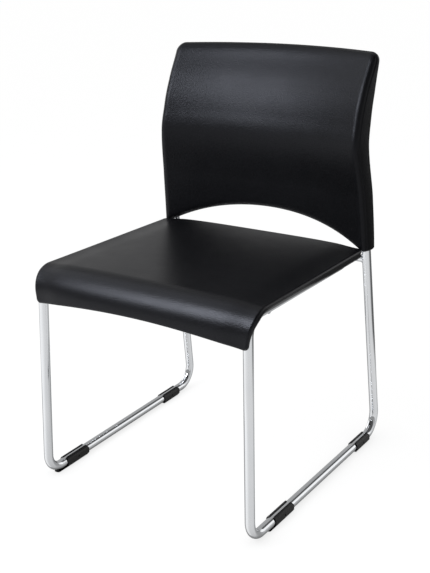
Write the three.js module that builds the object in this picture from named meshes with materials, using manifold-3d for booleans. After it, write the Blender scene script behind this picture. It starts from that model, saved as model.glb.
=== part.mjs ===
// Sled base visitor chair: a chromed bent-tube frame, clip-on glides, a waterfall seat and an arched back.
// Millimetres. +Z is up, +Y points to the rear, +X to the sitter's left hand. The origin lies on the floor
// under the middle of the chair.
import * as THREE from "three";
import { mergeVertices } from "three/addons/utils/BufferGeometryUtils.js";
import Module from "manifold-3d";

const wasm = await Module();
wasm.setup();

// Frame tubes. A forward size is measured from the rear foot, where the runner turns up into the leg.
const tubeDiameter = 19;
const tubeWall = 1.5;
const crossTubeDiameter = 16;
const frontFootSpan = 484;
const rearFootSpan = 501;
const footDepth = 550;
const railSpan = 461;
const railRearSpan = 434;
const railKneeForward = 180;
const railKneeRadius = 200;
const railHeight = 443;
const railSetback = 3;
const railFrontRadius = 35;
const railRearRadius = 32;
const railDropDegrees = 45;
const railEndInset = 2.7;
const frontFootRadius = 30;
const rearFootRadius = 42;
const weldGap = 0.3;
const bendStepDegrees = 15;
const mergeDistance = 1e-4;

// Uprights: the rear legs run on into the back, bend in at its mouth and lean away above the lumbar
const mouthSpan = 477;
const mouthForward = 86;
const mouthRadius = 200;
const lumbarSpan = 453;
const lumbarForward = 114;
const lumbarRadius = 150;
const uprightTopSpan = 446;
const uprightTopForward = 86;

// Cross tubes
const rearCrossDrop = 13.7;
const frontCrossY = 78;
const frontCrossDrop = 5;

// Glides
const soleThickness = 2.5;
const soleWidth = 14;
const frontGlideLength = 70;
const rearGlideLength = 63;
const glideWall = 2;
const glideFlat = 22.6;
const glideFlatDrop = 6;
const glideFit = 0.3;
const glideMouthDegrees = 56;
const glideEndBevel = 5;
const glideNoseShare = 1.4;
const glideDimpleDiameter = 4;
const glideDimpleDepth = 1;
const tongueLength = 28;
const rightFrontGlideY = 116;
const leftFrontGlideY = 85;
const rightRearGlideForward = 83;
const leftRearGlideForward = 103;

// Seat
const seatWidth = 494;
const seatRearGap = 32.2;
const seatEdgeRise = 6;
const seatRearRise = 1.5;
const seatCrown = 6;
const seatCrownMargin = 60;
const seatEdgeRound = 5;
const seatSkirtDrop = 6.9;
const seatFrontSkirtDrop = 1.2;
const seatSkirtFadeShares = [0.34, 0.71];
const seatRearFadeShare = 1.3;
const seatLipTaper = 3.5;
const seatLipDrop = 17;
const seatLipArch = 16;
const seatRearCorner = 28;
const seatLipCorner = 10;

// Seat shell
const shellInset = 1;
const shellLipInset = 2;
const shellPanWidth = 388;
const shellPanDrop = 3;
const shellPanWall = 3;
const shellSlope = 8;
const shellFlangeRise = 3.5;
const shellFlangeWall = 3.1;
const shellLedge = 1.4;
const shellSkirtWall = 2.9;
const shellHemDrop = 1.7;
const bossDiameter = 16;
const bossWall = 2;
const softFit = 0.3;

// Seat tabs and screws
const tabWidth = 30;
const frontTabLength = 36;
const rearTabLength = 62;
const tabWall = 2.5;
const frontTabSpan = 240;
const rearTabSpan = 320;
const tabHoleEdge = 12;
const seatScrewDiameter = 4.8;
const seatScrewLength = 11;
const screwHeadDiameter = 10;
const screwHeadHeight = 3;
const screwRecessDiameter = 4;
const screwRecessDepth = 1.6;
const screwFit = 0.3;

// Back
const backTopHeight = 853;
const backTopFall = 4.5;
const backFootRise = 6;
const backArchRise = 59.5;
const backArchFall = 63;
const backArchSteepShare = 0.23;
const backArchEase = 4;
const backHollow = 42;
const backRearHollow = 36;
const backSideFlareDegrees = 10;
const backTopCorner = 16;
const backFootCorner = 8;
const backRimRound = 8;
const backTopRound = 12;
const backSeamDepth = 13.5;
const backFaceFoam = 7;
const backShellWall = 5.6;
const backShellInset = 5;
const saddleInner = 18;
const saddleOuter = 5;
const saddleHeight = 30;
const backScrewDiameter = 4.8;
const backScrewHole = 5.6;
const backScrewAccess = 12;

// End plugs
const plugHead = 3;
const plugDepth = 14;
const plugFit = 0.2;

// Heights inside the back, as shares of its height from foot to top
const mouthShare = 0.156;
const lowerSaddleShare = 0.238;
const lumbarShare = 0.54;
const upperSaddleShare = 0.69;
const uprightTopShare = 0.782;

// The back's width, the lean of its face from the foot and its thickness, each written as [share of the
// height from foot to top, share of the size named here]
const backWidth = 496;
const backFaceForward = 109;
const backLean = 38;
const backThickness = 53;
const backWidthShares = [[0, 1], [0.3, 0.9778], [0.54, 0.9456], [0.78, 0.9395], [1, 0.9476]];
const backLeanShares = [[0, 0], [0.3, -0.408], [0.53, -0.842], [0.65, -0.645], [0.8, -0.079], [1, 1]];
const backDepthShares = [[0, 0.868], [0.3, 0.943], [0.55, 1], [0.8, 0.849], [1, 0.491]];

// Shades and finishes
const chrome = { color: 0xd6d8db, roughness: 0.06, metalness: 1 };
const vinyl = { color: 0x141416, roughness: 0.46, metalness: 0 };
const plastic = { color: 0x1a1a1c, roughness: 0.55, metalness: 0 };
const zinc = { color: 0xb4b6ba, roughness: 0.32, metalness: 1 };

// Values worked out from the sizes above
const tubeRadius = tubeDiameter / 2;
const crossRadius = crossTubeDiameter / 2;
const runnerHeight = soleThickness + tubeRadius;
const overcut = tubeDiameter;
const rearCrossHeight = railHeight - rearCrossDrop;
const backFootHeight = railHeight + backFootRise;
const backArchHeight = backFootHeight + backArchRise;
const backSpan = backTopHeight - backFootHeight;
const backHeightAt = (share) => backFootHeight + share * backSpan;
const mouthHeight = backHeightAt(mouthShare);
const lumbarHeight = backHeightAt(lumbarShare);
const rearFoot = new THREE.Vector3(rearFootSpan / 2, footDepth, runnerHeight);
const mouth = new THREE.Vector3(mouthSpan / 2, footDepth - mouthForward, mouthHeight);
const legShareAtCross = (rearCrossHeight - rearFoot.z) / (mouth.z - rearFoot.z);
const rearCrossAt = rearFoot.clone().lerp(mouth, legShareAtCross);
const railDrop = THREE.MathUtils.degToRad(railDropDegrees);
const railDropY = rearCrossAt.y - rearCrossDrop / Math.tan(railDrop);
const railEndShare = 1 - (railEndInset * Math.sin(railDrop)) / rearCrossDrop;
const seatDatum = railHeight + tubeRadius;
const seatRoll = railFrontRadius + tubeRadius;
const seatRollY = railSetback + railFrontRadius;
const seatRollHeight = railHeight - railFrontRadius;
const seatRearY = rearCrossAt.y - seatRearGap;
const seatFlatLength = seatRearY - seatRollY;
const seatRollLength = (seatRoll * Math.PI) / 2;
const frontCrossHeight = railHeight - frontCrossDrop;
const panUnder = seatDatum - shellPanDrop - shellPanWall;
const tabTop = rearCrossHeight + crossRadius + tabWall;

// A closed mesh becomes a solid for joining and cutting, and back
function toSolid(geometry) {
  const bare = geometry.index ? geometry.toNonIndexed() : geometry.clone();
  const only = new THREE.BufferGeometry().setAttribute("position", bare.getAttribute("position"));
  const merged = mergeVertices(only, mergeDistance);
  return new wasm.Manifold(new wasm.Mesh({
    numProp: 3,
    vertProperties: merged.attributes.position.array,
    triVerts: new Uint32Array(merged.index.array),
  }));
}

function toGeometry(solid) {
  const mesh = solid.getMesh();
  const geometry = new THREE.BufferGeometry();
  geometry.setAttribute("position", new THREE.BufferAttribute(mesh.vertProperties, 3));
  geometry.setIndex(new THREE.BufferAttribute(mesh.triVerts, 1));
  const flat = geometry.toNonIndexed();
  flat.computeVertexNormals();
  return flat;
}

// Triangles wound the wrong way round are turned outwards
function closed(points, faces) {
  let volume = 0;
  for (const [a, b, c] of faces) volume += points[a].dot(points[b].clone().cross(points[c]));
  const geometry = new THREE.BufferGeometry().setFromPoints(points);
  geometry.setIndex(faces.flatMap(([a, b, c]) => (volume < 0 ? [a, c, b] : [a, b, c])));
  return toSolid(geometry);
}

// Straight runs joined by round bends. Each station lies at the end of a run or inside a bend.
class BentPath extends THREE.Curve {
  constructor(corners, radii) {
    super();
    this.stations = [];
    this.tangents = [];
    const count = corners.length;
    for (let i = 0; i < count; i++) {
      const back = i ? corners[i - 1].clone().sub(corners[i]).normalize() : null;
      const ahead = i < count - 1 ? corners[i + 1].clone().sub(corners[i]).normalize() : null;
      if (!back || !ahead) {
        this.stations.push(corners[i].clone());
        this.tangents.push(ahead ?? back.clone().negate());
        continue;
      }
      const turn = Math.PI - back.angleTo(ahead);
      const run = radii[i - 1] * Math.tan(turn / 2);
      const start = corners[i].clone().addScaledVector(back, run);
      const along = back.clone().negate();
      const inward = ahead.clone().addScaledVector(along, -ahead.dot(along)).normalize();
      const steps = Math.max(2, Math.round(THREE.MathUtils.radToDeg(turn) / bendStepDegrees));
      for (let k = 0; k <= steps; k++) {
        const angle = (turn * k) / steps;
        const side = radii[i - 1] * (1 - Math.cos(angle));
        const reach = radii[i - 1] * Math.sin(angle);
        this.stations.push(start.clone().addScaledVector(along, reach).addScaledVector(inward, side));
        const tangent = along.clone().multiplyScalar(Math.cos(angle));
        this.tangents.push(tangent.addScaledVector(inward, Math.sin(angle)));
      }
    }
    this.steps = this.stations.length - 1;
  }
  getPoint(t) {
    const place = t * this.steps;
    const i = Math.min(Math.floor(place + 1e-9), this.steps - 1);
    return this.stations[i].clone().lerp(this.stations[i + 1], place - i);
  }
  getPointAt(t) {
    return this.getPoint(t);
  }
  getTangentAt(t) {
    return this.tangents[Math.round(t * this.steps)].clone();
  }
}

function circle(radius, sides) {
  const points = [];
  for (let i = 0; i < sides; i++) {
    const angle = (i / sides) * Math.PI * 2;
    points.push(new THREE.Vector2(radius * Math.cos(angle), radius * Math.sin(angle)));
  }
  return points;
}

// A tube along a path, open at both ends; no wall gives a solid bar
function sweep(path, radius, wall, sides) {
  const section = new THREE.Shape(circle(radius, sides));
  if (wall) section.holes.push(new THREE.Path(circle(radius - wall, sides - 4).reverse()));
  return toSolid(new THREE.ExtrudeGeometry(section, { steps: path.steps, extrudePath: path }));
}

function straight(from, to) {
  return new BentPath([from, to], []);
}

// A round bar or bushing from one point to another
function bar(from, to, radius, sides = 16) {
  return sweep(straight(from, to), radius, 0, sides);
}

function box(sizeX, sizeY, sizeZ, x, y, z) {
  return toSolid(new THREE.BoxGeometry(sizeX, sizeY, sizeZ).translate(x, y, z));
}

// Frame: each side is one tube. Its rail bends in and drops onto the rear cross tube. From there the tube
// runs forward, down the front leg, back along the floor and up the rear leg into the back.
function sideCorners(side) {
  const at = (span, y, z) => new THREE.Vector3((side * span) / 2, y, z);
  const drop = at(railRearSpan, railDropY, railHeight);
  return {
    railEnd: drop.clone().lerp(at(railRearSpan, rearCrossAt.y, rearCrossHeight), railEndShare),
    drop,
    knee: at(railSpan, footDepth - railKneeForward, railHeight),
    front: at(railSpan, railSetback, railHeight),
    frontFoot: at(frontFootSpan, 0, runnerHeight),
    rearFoot: at(rearFootSpan, footDepth, runnerHeight),
    mouth: at(mouthSpan, footDepth - mouthForward, mouthHeight),
    lumbar: at(lumbarSpan, footDepth - lumbarForward, lumbarHeight),
    top: at(uprightTopSpan, footDepth - uprightTopForward, backHeightAt(uprightTopShare)),
  };
}
const bendRadii = [railRearRadius, railKneeRadius, railFrontRadius, frontFootRadius, rearFootRadius,
  mouthRadius, lumbarRadius];
const sidePath = (side) => new BentPath(Object.values(sideCorners(side)), bendRadii);

const rearward = new THREE.Vector3(0, 1, 0);

// Where a back screw crosses an upright, and the way square to the tube out of the back
function screwPlace(side) {
  const { mouth: low, lumbar } = sideCorners(side);
  const share = (lowerSaddleShare - mouthShare) / (lumbarShare - mouthShare);
  const axis = lumbar.clone().sub(low).normalize();
  const out = rearward.clone().addScaledVector(axis, -axis.dot(rearward)).normalize();
  return { centre: low.lerp(lumbar, share), out };
}

function sideFrame(side) {
  const { centre, out } = screwPlace(side);
  const from = centre.clone().addScaledVector(out, -overcut);
  const to = centre.clone().addScaledVector(out, overcut);
  const crossFrom = new THREE.Vector3(-rearCrossAt.x, rearCrossAt.y, rearCrossAt.z);
  const cross = bar(crossFrom, rearCrossAt, crossRadius + weldGap, 24);
  const tube = sweep(sidePath(side), tubeRadius, tubeWall, 16);
  return tube.subtract(cross).subtract(bar(from, to, backScrewHole / 2));
}

// A cross tube whose ends are notched to sit against the round of the tubes at its sides
function crossTube(y, z, halfSpan, notch) {
  const from = new THREE.Vector3(-halfSpan, y, z);
  const to = new THREE.Vector3(halfSpan, y, z);
  return sweep(straight(from, to), crossRadius, tubeWall, 16).subtract(notch(1)).subtract(notch(-1));
}

function legNotch(side) {
  const { rearFoot: low, mouth: high } = sideCorners(side);
  return bar(low, high, tubeRadius + weldGap, 24);
}

function railNotch(side) {
  const { knee, front } = sideCorners(side);
  return bar(knee, front, tubeRadius + weldGap, 24);
}

const rearCrossTube = () => crossTube(rearCrossAt.y, rearCrossHeight, rearCrossAt.x, legNotch);
const frontCrossTube = () => crossTube(frontCrossY, frontCrossHeight, railSpan / 2, railNotch);

// A short insert that closes the upright's open end: a round head and a plain stem
function endPlug(side) {
  const { top: end, lumbar } = sideCorners(side);
  const axis = lumbar.clone().sub(end).normalize();
  const headEnd = end.clone().addScaledVector(axis, -plugHead);
  const seat = end.clone().addScaledVector(axis, -plugFit);
  const stemEnd = end.clone().addScaledVector(axis, plugDepth);
  const head = bar(headEnd, seat, tubeRadius);
  const stem = bar(headEnd.clone().lerp(seat, 0.5), stemEnd, tubeRadius - tubeWall - plugFit * 2);
  return head.add(stem);
}

// Glides: a C-shaped clip with a flat sole, flat cheeks and a mouth along its top
function glideSection() {
  const outer = tubeRadius + glideFit + glideWall;
  const inner = tubeRadius + glideFit;
  const half = glideFlat / 2;
  const start = Math.asin(Math.sqrt(outer ** 2 - half ** 2) / outer);
  const lip = THREE.MathUtils.degToRad(90 - glideMouthDegrees / 2);
  const steps = 5;
  const right = [[soleWidth / 2, -runnerHeight], [half, -glideFlatDrop]];
  for (let i = 0; i <= steps; i++) {
    const angle = start + ((lip - start) * i) / steps;
    right.push([outer * Math.cos(angle), outer * Math.sin(angle)]);
  }
  const left = right.map(([x, z]) => [-x, z]).reverse();
  const bore = [];
  const turns = 14;
  for (let i = 0; i <= turns; i++) {
    const angle = lip - ((Math.PI + 2 * lip) * i) / turns;
    bore.push([inner * Math.cos(angle), inner * Math.sin(angle)]);
  }
  return [...right, ...bore, ...left];
}

function extrudeAlongY(points, from, to) {
  const shape = new THREE.Shape(points.map(([x, z]) => new THREE.Vector2(x, z)));
  const solid = new THREE.ExtrudeGeometry(shape, { depth: to - from, steps: 1, bevelEnabled: false });
  return toSolid(solid.rotateX(Math.PI / 2).translate(0, to, 0));
}

function extrudeAlongX(points, from, to) {
  const shape = new THREE.Shape(points.map(([y, z]) => new THREE.Vector2(y, z)));
  const solid = new THREE.ExtrudeGeometry(shape, { depth: to - from, steps: 1, bevelEnabled: false });
  const turn = new THREE.Matrix4().makeBasis(
    new THREE.Vector3(0, 1, 0), new THREE.Vector3(0, 0, 1), new THREE.Vector3(1, 0, 0));
  return toSolid(solid.applyMatrix4(turn).translate(from, 0, 0));
}

function glide(length, tongue) {
  const half = length / 2;
  const bevel = glideEndBevel;
  const top = tubeRadius + glideFit + glideWall + glideFit;
  const low = -runnerHeight;
  const cheek = glideFlat / 2 + glideFit;
  const small = bevel / 2;
  const cheekShape = [[-half, low + small], [-half + small, low], [half - small, low], [half, low + small],
    [half, top - bevel * glideNoseShare], [half - bevel, top], [-half + small, top], [-half, top - small]];
  let clip = extrudeAlongY(glideSection(), -half, half).intersect(extrudeAlongX(cheekShape, -cheek, cheek));
  if (tongue) {
    const wide = soleWidth / 2;
    const tip = -half - tongue;
    const corners = [[-wide, -half + bevel], [-wide, tip + bevel], [-wide + bevel, tip], [wide - bevel, tip],
      [wide, tip + bevel], [wide, -half + bevel]];
    const plate = new THREE.Shape(corners.map(([x, y]) => new THREE.Vector2(x, y)));
    const depth = soleThickness - glideFit;
    const sole = new THREE.ExtrudeGeometry(plate, { depth, bevelEnabled: false });
    clip = clip.add(toSolid(sole.translate(0, 0, low)));
  }
  const reach = glideFlat / 2;
  for (const side of [1, -1]) {
    const from = new THREE.Vector3(side * (reach - glideDimpleDepth), 0, 0);
    const to = new THREE.Vector3(side * (reach + glideFit), 0, 0);
    clip = clip.subtract(bar(from, to, glideDimpleDiameter / 2, 12));
  }
  return clip;
}

// The runners toe out to the rear, so a glide stands at the runner's own place and heading
const toe = Math.atan((rearFootSpan - frontFootSpan) / 2 / footDepth);
function placeGlide(solid, side, y) {
  const x = frontFootSpan / 2 + Math.tan(toe) * y;
  const place = new THREE.Matrix4().makeRotationZ(-side * toe).setPosition(side * x, y, runnerHeight);
  return toSolid(toGeometry(solid).applyMatrix4(place));
}

// Seat: every layer follows one side profile, flat to the front roll and then down the lip.
// run is the distance along the profile from the rear edge, rise the height off the rails.
function seatPoint(x, run, rise) {
  if (run < seatFlatLength) return new THREE.Vector3(x, seatRearY - run, seatDatum + rise);
  const angle = Math.min((run - seatFlatLength) / seatRoll, Math.PI / 2);
  const past = Math.max(run - seatFlatLength - seatRollLength, 0);
  const out = seatRoll + rise;
  const y = seatRollY - out * Math.sin(angle);
  return new THREE.Vector3(x, y, seatRollHeight + out * Math.cos(angle) - past);
}

const roundOff = (distance, radius) => {
  const d = Math.min(Math.max(distance, 0), radius);
  return radius - Math.sqrt(radius ** 2 - (radius - d) ** 2);
};
const blend = (from, to, share) => from + (to - from) * share;
const smooth = (value, from, to) => THREE.MathUtils.smoothstep(value, from, to);

// The seat narrows a little down its lip. Its side skirts are deep behind, shallow in front and fade out
// at the rear edge.
const lipShare = (run) => smooth(run, seatFlatLength - seatRearCorner, seatFlatLength + seatRollLength);
const rearShare = (run) => 1 - smooth(run, seatRearCorner, seatRearCorner * seatRearFadeShare);
const seatHalf = (run) => seatWidth / 2 - seatLipTaper * lipShare(run);
const [fadeStart, fadeEnd] = seatSkirtFadeShares.map((share) => share * seatFlatLength);
const skirtDrop = (run) => blend(seatSkirtDrop, seatFrontSkirtDrop, smooth(run, fadeStart, fadeEnd));

// Where the seat's outline lies along the profile at a place across it
const seatEnd = (x, half) => seatFlatLength + seatRollLength + seatLipDrop
  - seatLipArch * (1 - (x / half) ** 2) - roundOff(half - Math.abs(x), seatLipCorner);
const seatStart = (x, half) => roundOff(half - Math.abs(x), seatRearCorner);

// A closed sheet between an upper and a lower surface over one grid
function sheet(columns, rows, upper, lower, middle) {
  const points = [];
  const faces = [];
  const wide = columns.length;
  const tall = rows.length;
  for (const surface of [upper, lower])
    for (const row of rows) for (const column of columns) points.push(surface(column, row));
  const at = (layer, i, j) => layer * wide * tall + j * wide + i;
  for (let j = 0; j < tall - 1; j++)
    for (let i = 0; i < wide - 1; i++)
      for (const layer of [0, 1]) {
        const [a, b] = [at(layer, i, j), at(layer, i + 1, j)];
        const [c, d] = [at(layer, i + 1, j + 1), at(layer, i, j + 1)];
        faces.push(...(layer ? [[a, c, b], [a, d, c]] : [[a, b, c], [a, c, d]]));
      }
  const rim = [];
  for (let i = 0; i < wide - 1; i++) rim.push([i, 0]);
  for (let j = 0; j < tall - 1; j++) rim.push([wide - 1, j]);
  for (let i = wide - 1; i > 0; i--) rim.push([i, tall - 1]);
  for (let j = tall - 1; j > 0; j--) rim.push([0, j]);
  let ring = rim.map(([i, j]) => at(0, i, j));
  const rings = [ring];
  if (middle) {
    ring = rim.map(([i, j]) => points.push(middle(columns[i], rows[j])) - 1);
    rings.push(ring);
  }
  rings.push(rim.map(([i, j]) => at(1, i, j)));
  for (let k = 0; k < rings.length - 1; k++)
    for (let i = 0; i < rim.length; i++) {
      const n = (i + 1) % rim.length;
      const [a, b, c, d] = [rings[k][i], rings[k][n], rings[k + 1][n], rings[k + 1][i]];
      faces.push([a, c, b], [a, d, c]);
    }
  return closed(points, faces);
}

const mirrored = (half) => [...half.map((v) => -v), ...half.slice(0, -1).reverse()];

// The pad's underside starts inside the shell's own thickness and is cut to fit over it
function seatPad() {
  const half = seatWidth / 2;
  const pan = (shellPanWidth + shellPanWall) / 2;
  const ledge = half - shellInset - shellLedge - softFit;
  const wall = half - shellInset - shellSkirtWall + softFit;
  const panShares = [0.66, 0.33, 0];
  const columns = mirrored([half, half - shellInset, ledge, wall, half - seatRearCorner / 2,
    pan + shellSlope, pan, ...panShares.map((share) => share * pan)]);
  const flat = seatFlatLength / (seatFlatLength + seatRollLength + seatLipDrop);
  const flatRowShares = [0, 0.007, 0.024, 0.073, 0.34, 0.5, 0.71, 1];
  const lipRowShares = [0.16, 0.32, 0.48, 0.64, 0.8, 0.93, 1];
  const rows = flatRowShares.map((share) => share * flat);
  rows.push(...lipRowShares.map((share) => blend(flat, 1, share)));
  const runAt = (x, v) => blend(seatStart(x, half), seatEnd(x, half), v);
  const upper = (x, v) => {
    const run = runAt(x, v);
    const beside = half - Math.abs(x);
    const inside = Math.min(beside, run - seatStart(x, half), seatEnd(x, half) - run);
    const crown = seatCrown * (1 - (x / half) ** 4) * smooth(beside, 0, seatCrownMargin);
    const rear = seatRearRise * (1 - smooth(run, 0, seatFlatLength));
    const rise = seatEdgeRise + rear + crown - roundOff(inside, seatEdgeRound);
    return seatPoint((x * seatHalf(run)) / half, run, rise);
  };
  const lower = (x, v) => {
    const run = runAt(x, v);
    const across = (x * seatHalf(run)) / half;
    const beyondWall = Math.abs(x) > (wall + ledge) / 2;
    const rim = blend(-skirtDrop(run), shellFlangeRise - shellLedge + softFit * 2, rearShare(run));
    const inPan = -shellPanDrop - shellPanWall / 2;
    const inFlange = shellFlangeRise - shellFlangeWall / 2;
    const inShell = blend(inPan, inFlange, smooth(Math.abs(x), pan, pan + shellSlope));
    return seatPoint(across, run, beyondWall ? rim : inShell);
  };
  return sheet(columns, rows, upper, lower).subtract(seatShellBody(softFit));
}

// One half of the shell's section at a place along the profile, grown by a clearance: a pan, a flange over
// the rail and a skirt beside it, whose ledge the pad's own skirt stands on
function shellSection(run, grow) {
  const half = seatHalf(run) - shellInset - roundOff(run, seatRearCorner);
  const ledge = blend(-skirtDrop(run) - softFit * 2, shellFlangeRise - shellLedge, rearShare(run)) + grow;
  const hem = blend(-skirtDrop(run) - shellHemDrop, softFit, rearShare(run)) - grow;
  const under = shellFlangeRise - shellFlangeWall - grow;
  const pan = shellPanWidth / 2;
  return [
    [pan + grow / 2, -shellPanDrop + grow],
    [pan + shellSlope - grow / 2, shellFlangeRise + grow],
    [half - shellLedge + grow, shellFlangeRise + grow],
    [half - shellLedge + grow, ledge],
    [half + grow, ledge],
    [half + grow, hem],
    [half - shellSkirtWall - grow, hem],
    [half - shellSkirtWall - grow, under + softFit / 2],
    [pan + shellSlope + shellPanWall, under],
    [pan + shellPanWall, -shellPanDrop - shellPanWall - grow],
  ];
}

// A solid through a row of like outlines; place turns an outline's point into a point in space
function loft(outlines, place) {
  const size = outlines[0].length;
  const last = outlines.length - 1;
  const points = outlines.flatMap((outline, k) => outline.map(([across, rise]) => place(k, across, rise)));
  const faces = [];
  for (let k = 0; k < last; k++)
    for (let i = 0; i < size; i++) {
      const n = (i + 1) % size;
      const [a, b] = [k * size + i, k * size + n];
      const [c, d] = [(k + 1) * size + n, (k + 1) * size + i];
      faces.push([a, b, c], [a, c, d]);
    }
  const flat = (outline) => outline.map(([across, rise]) => new THREE.Vector2(across, rise));
  for (const [a, b, c] of THREE.ShapeUtils.triangulateShape(flat(outlines[0]), [])) faces.push([a, c, b]);
  const end = last * size;
  for (const [a, b, c] of THREE.ShapeUtils.triangulateShape(flat(outlines[last]), []))
    faces.push([a + end, b + end, c + end]);
  return closed(points, faces);
}

function seatShellBody(grow) {
  const cornerShares = [0.1, 0.35, 1, seatRearFadeShare];
  const flatShares = [0.34, 0.5, 0.71];
  const runs = [-grow, ...cornerShares.map((share) => share * seatRearCorner)];
  runs.push(...flatShares.map((share) => share * seatFlatLength), seatFlatLength - seatRearCorner);
  const rollSteps = 7;
  for (let i = 0; i < rollSteps; i++) runs.push(seatFlatLength + (seatRollLength * i) / rollSteps);
  const end = seatFlatLength + seatRollLength + seatLipDrop - seatLipArch - shellLipInset + grow;
  runs.push(Math.max(end, runs.at(-1) + softFit));
  const outlines = runs.map((run) => {
    const half = shellSection(Math.max(run, softFit), grow);
    return [...half.map(([x, rise]) => [-x, rise]), ...half.reverse()];
  });
  return loft(outlines, (k, x, rise) => seatPoint(x, runs[k], rise));
}

// Screw places: two tabs reach back from the front cross tube, two reach forward from the rear one
const frontTabY = frontCrossY + crossRadius + frontTabLength - tabHoleEdge;
const rearTabY = rearCrossAt.y - crossRadius - rearTabLength + tabHoleEdge;
const frontTube = { y: frontCrossY, z: frontCrossHeight };
const seatScrews = [
  { name: "front_right", x: frontTabSpan / 2, y: frontTabY, tube: frontTube },
  { name: "front_left", x: -frontTabSpan / 2, y: frontTabY, tube: frontTube },
  { name: "rear_right", x: rearTabSpan / 2, y: rearTabY, tube: rearCrossAt },
  { name: "rear_left", x: -rearTabSpan / 2, y: rearTabY, tube: rearCrossAt },
];

function seatShell() {
  let shell = seatShellBody(0);
  for (const { x, y } of seatScrews) {
    const low = new THREE.Vector3(x, y, tabTop + softFit);
    shell = shell.add(bar(low, new THREE.Vector3(x, y, panUnder + shellPanWall / 2), bossDiameter / 2));
  }
  for (const { x, y } of seatScrews) {
    const low = new THREE.Vector3(x, y, tabTop - overcut);
    const high = new THREE.Vector3(x, y, panUnder + shellPanWall - bossWall / 2);
    shell = shell.subtract(bar(low, high, seatScrewDiameter / 2 + screwFit, 12));
  }
  return shell;
}

function seatTab({ x, y, tube }) {
  const tip = y + Math.sign(y - tube.y) * tabHoleEdge;
  const length = Math.abs(tip - tube.y);
  const plate = box(tabWidth, length, tabWall, x, (tip + tube.y) / 2, tabTop - tabWall / 2);
  const from = new THREE.Vector3(x - tabWidth, tube.y, tube.z);
  const notch = bar(from, from.clone().setX(x + tabWidth), crossRadius + weldGap, 24);
  const low = new THREE.Vector3(x, y, tabTop - overcut);
  const hole = bar(low, new THREE.Vector3(x, y, tabTop + overcut), seatScrewDiameter / 2 + screwFit, 12);
  return plate.subtract(notch).subtract(hole);
}

// A pan-head screw along a direction, its head's bearing face at a point
function screw(seat, along, diameter, length) {
  const headEnd = seat.clone().addScaledVector(along, -screwHeadHeight);
  const tip = seat.clone().addScaledVector(along, length);
  const inside = headEnd.clone().lerp(seat, 0.5);
  const recess = headEnd.clone().addScaledVector(along, screwRecessDepth);
  const above = headEnd.clone().addScaledVector(along, -overcut);
  const head = bar(headEnd, seat, screwHeadDiameter / 2, 14);
  const socket = bar(above, recess, screwRecessDiameter / 2, 6);
  return head.add(bar(inside, tip, diameter / 2, 10)).subtract(socket);
}

const upward = new THREE.Vector3(0, 0, 1);
const seatScrew = ({ x, y }) =>
  screw(new THREE.Vector3(x, y, tabTop - tabWall - screwFit), upward, seatScrewDiameter, seatScrewLength);

// Back: a curved sheet, hollow across its width, whose depth is measured rearwards from its face
function alongHeight(pairs, z) {
  const share = THREE.MathUtils.clamp((z - backFootHeight) / backSpan, 0, 1);
  const curve = new THREE.SplineCurve(pairs.map(([at, value]) => new THREE.Vector2(at, value)));
  const last = pairs.length - 1;
  let i = 0;
  while (i < last - 1 && share > pairs[i + 1][0]) i++;
  const part = (share - pairs[i][0]) / (pairs[i + 1][0] - pairs[i][0]);
  return curve.getPoint((i + part) / last).y;
}
const backFootY = footDepth - backFaceForward;
const backHalf = (z) => (backWidth / 2) * alongHeight(backWidthShares, z);
const backFlare = Math.tan(THREE.MathUtils.degToRad(backSideFlareDegrees));
const backHollowLoss = (u) => (backHollow - backRearHollow) * (1 - u * u);
const backDepth = (u, z) => backThickness * alongHeight(backDepthShares, z) - backHollowLoss(u);

function backPoint(u, z, depth) {
  const half = backHalf(z) + depth * backFlare;
  const y = backFootY + backLean * alongHeight(backLeanShares, z) + backHollow * (1 - u * u) + depth;
  return new THREE.Vector3(u * half, y, z);
}

const backTop = (x, half) => backTopHeight - backTopFall * (x / half) ** 2
  - roundOff(half - Math.abs(x), backTopCorner);
function backBottom(x, half) {
  const u = x / half;
  const arch = backArchHeight - backArchFall * blend(u ** 2, u ** 4, backArchSteepShare);
  const above = arch - backFootHeight;
  const eased = (above + Math.hypot(above, backArchEase)) / 2;
  return backFootHeight + eased + roundOff(half - Math.abs(x), backFootCorner);
}

// One layer of the back between two depths, drawn in from the outline by an inset
function backLayer(inset, near, far, nearRound, farRound, midDepth) {
  const reference = backHalf(lumbarHeight);
  const edge = reference - inset;
  const insetShares = [0, 0.3, 1, 2.2].map((share) => edge - share * backRimRound);
  const innerShares = [0.86, 0.74, 0.5, 0.25, 0].map((share) => share * edge);
  const columns = mirrored([...insetShares, ...innerShares]);
  const bodyShares = [0, 0.09, 0.2, 0.32, 0.44, 0.54, 0.64, 0.75, 0.87, 1];
  const rimShares = [0, 0.3];
  const rows = [...rimShares.map((share) => ["foot", share]), ...bodyShares.map((share) => ["body", share]),
    ...rimShares.map((share) => ["top", share]).reverse()];
  const place = (x, [zone, share]) => {
    const bottom = backBottom(x, edge) + inset;
    const top = backTop(x, edge) - inset;
    if (zone === "foot") return bottom + share * backRimRound;
    if (zone === "top") return top - share * backTopRound;
    return blend(bottom + backRimRound, top - backTopRound, share);
  };
  const inside = (x, z) => {
    const toFoot = z - backBottom(x, edge) - inset;
    const toTop = ((backTop(x, edge) - inset - z) * backRimRound) / backTopRound;
    return Math.min(edge - Math.abs(x), toFoot, toTop);
  };
  const surface = (depthAt, rounding) => (x, row) => {
    const z = place(x, row);
    const u = x / reference;
    const full = depthAt(u, z);
    return backPoint(u, z, full + rounding * roundOff(inside(x, z), backRimRound));
  };
  const middle = midDepth ? (x, row) => backPoint(x / reference, place(x, row), midDepth) : null;
  return sheet(columns, rows, surface(near, nearRound), surface(far, farRound), middle);
}

const level = (depth) => () => depth;

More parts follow.
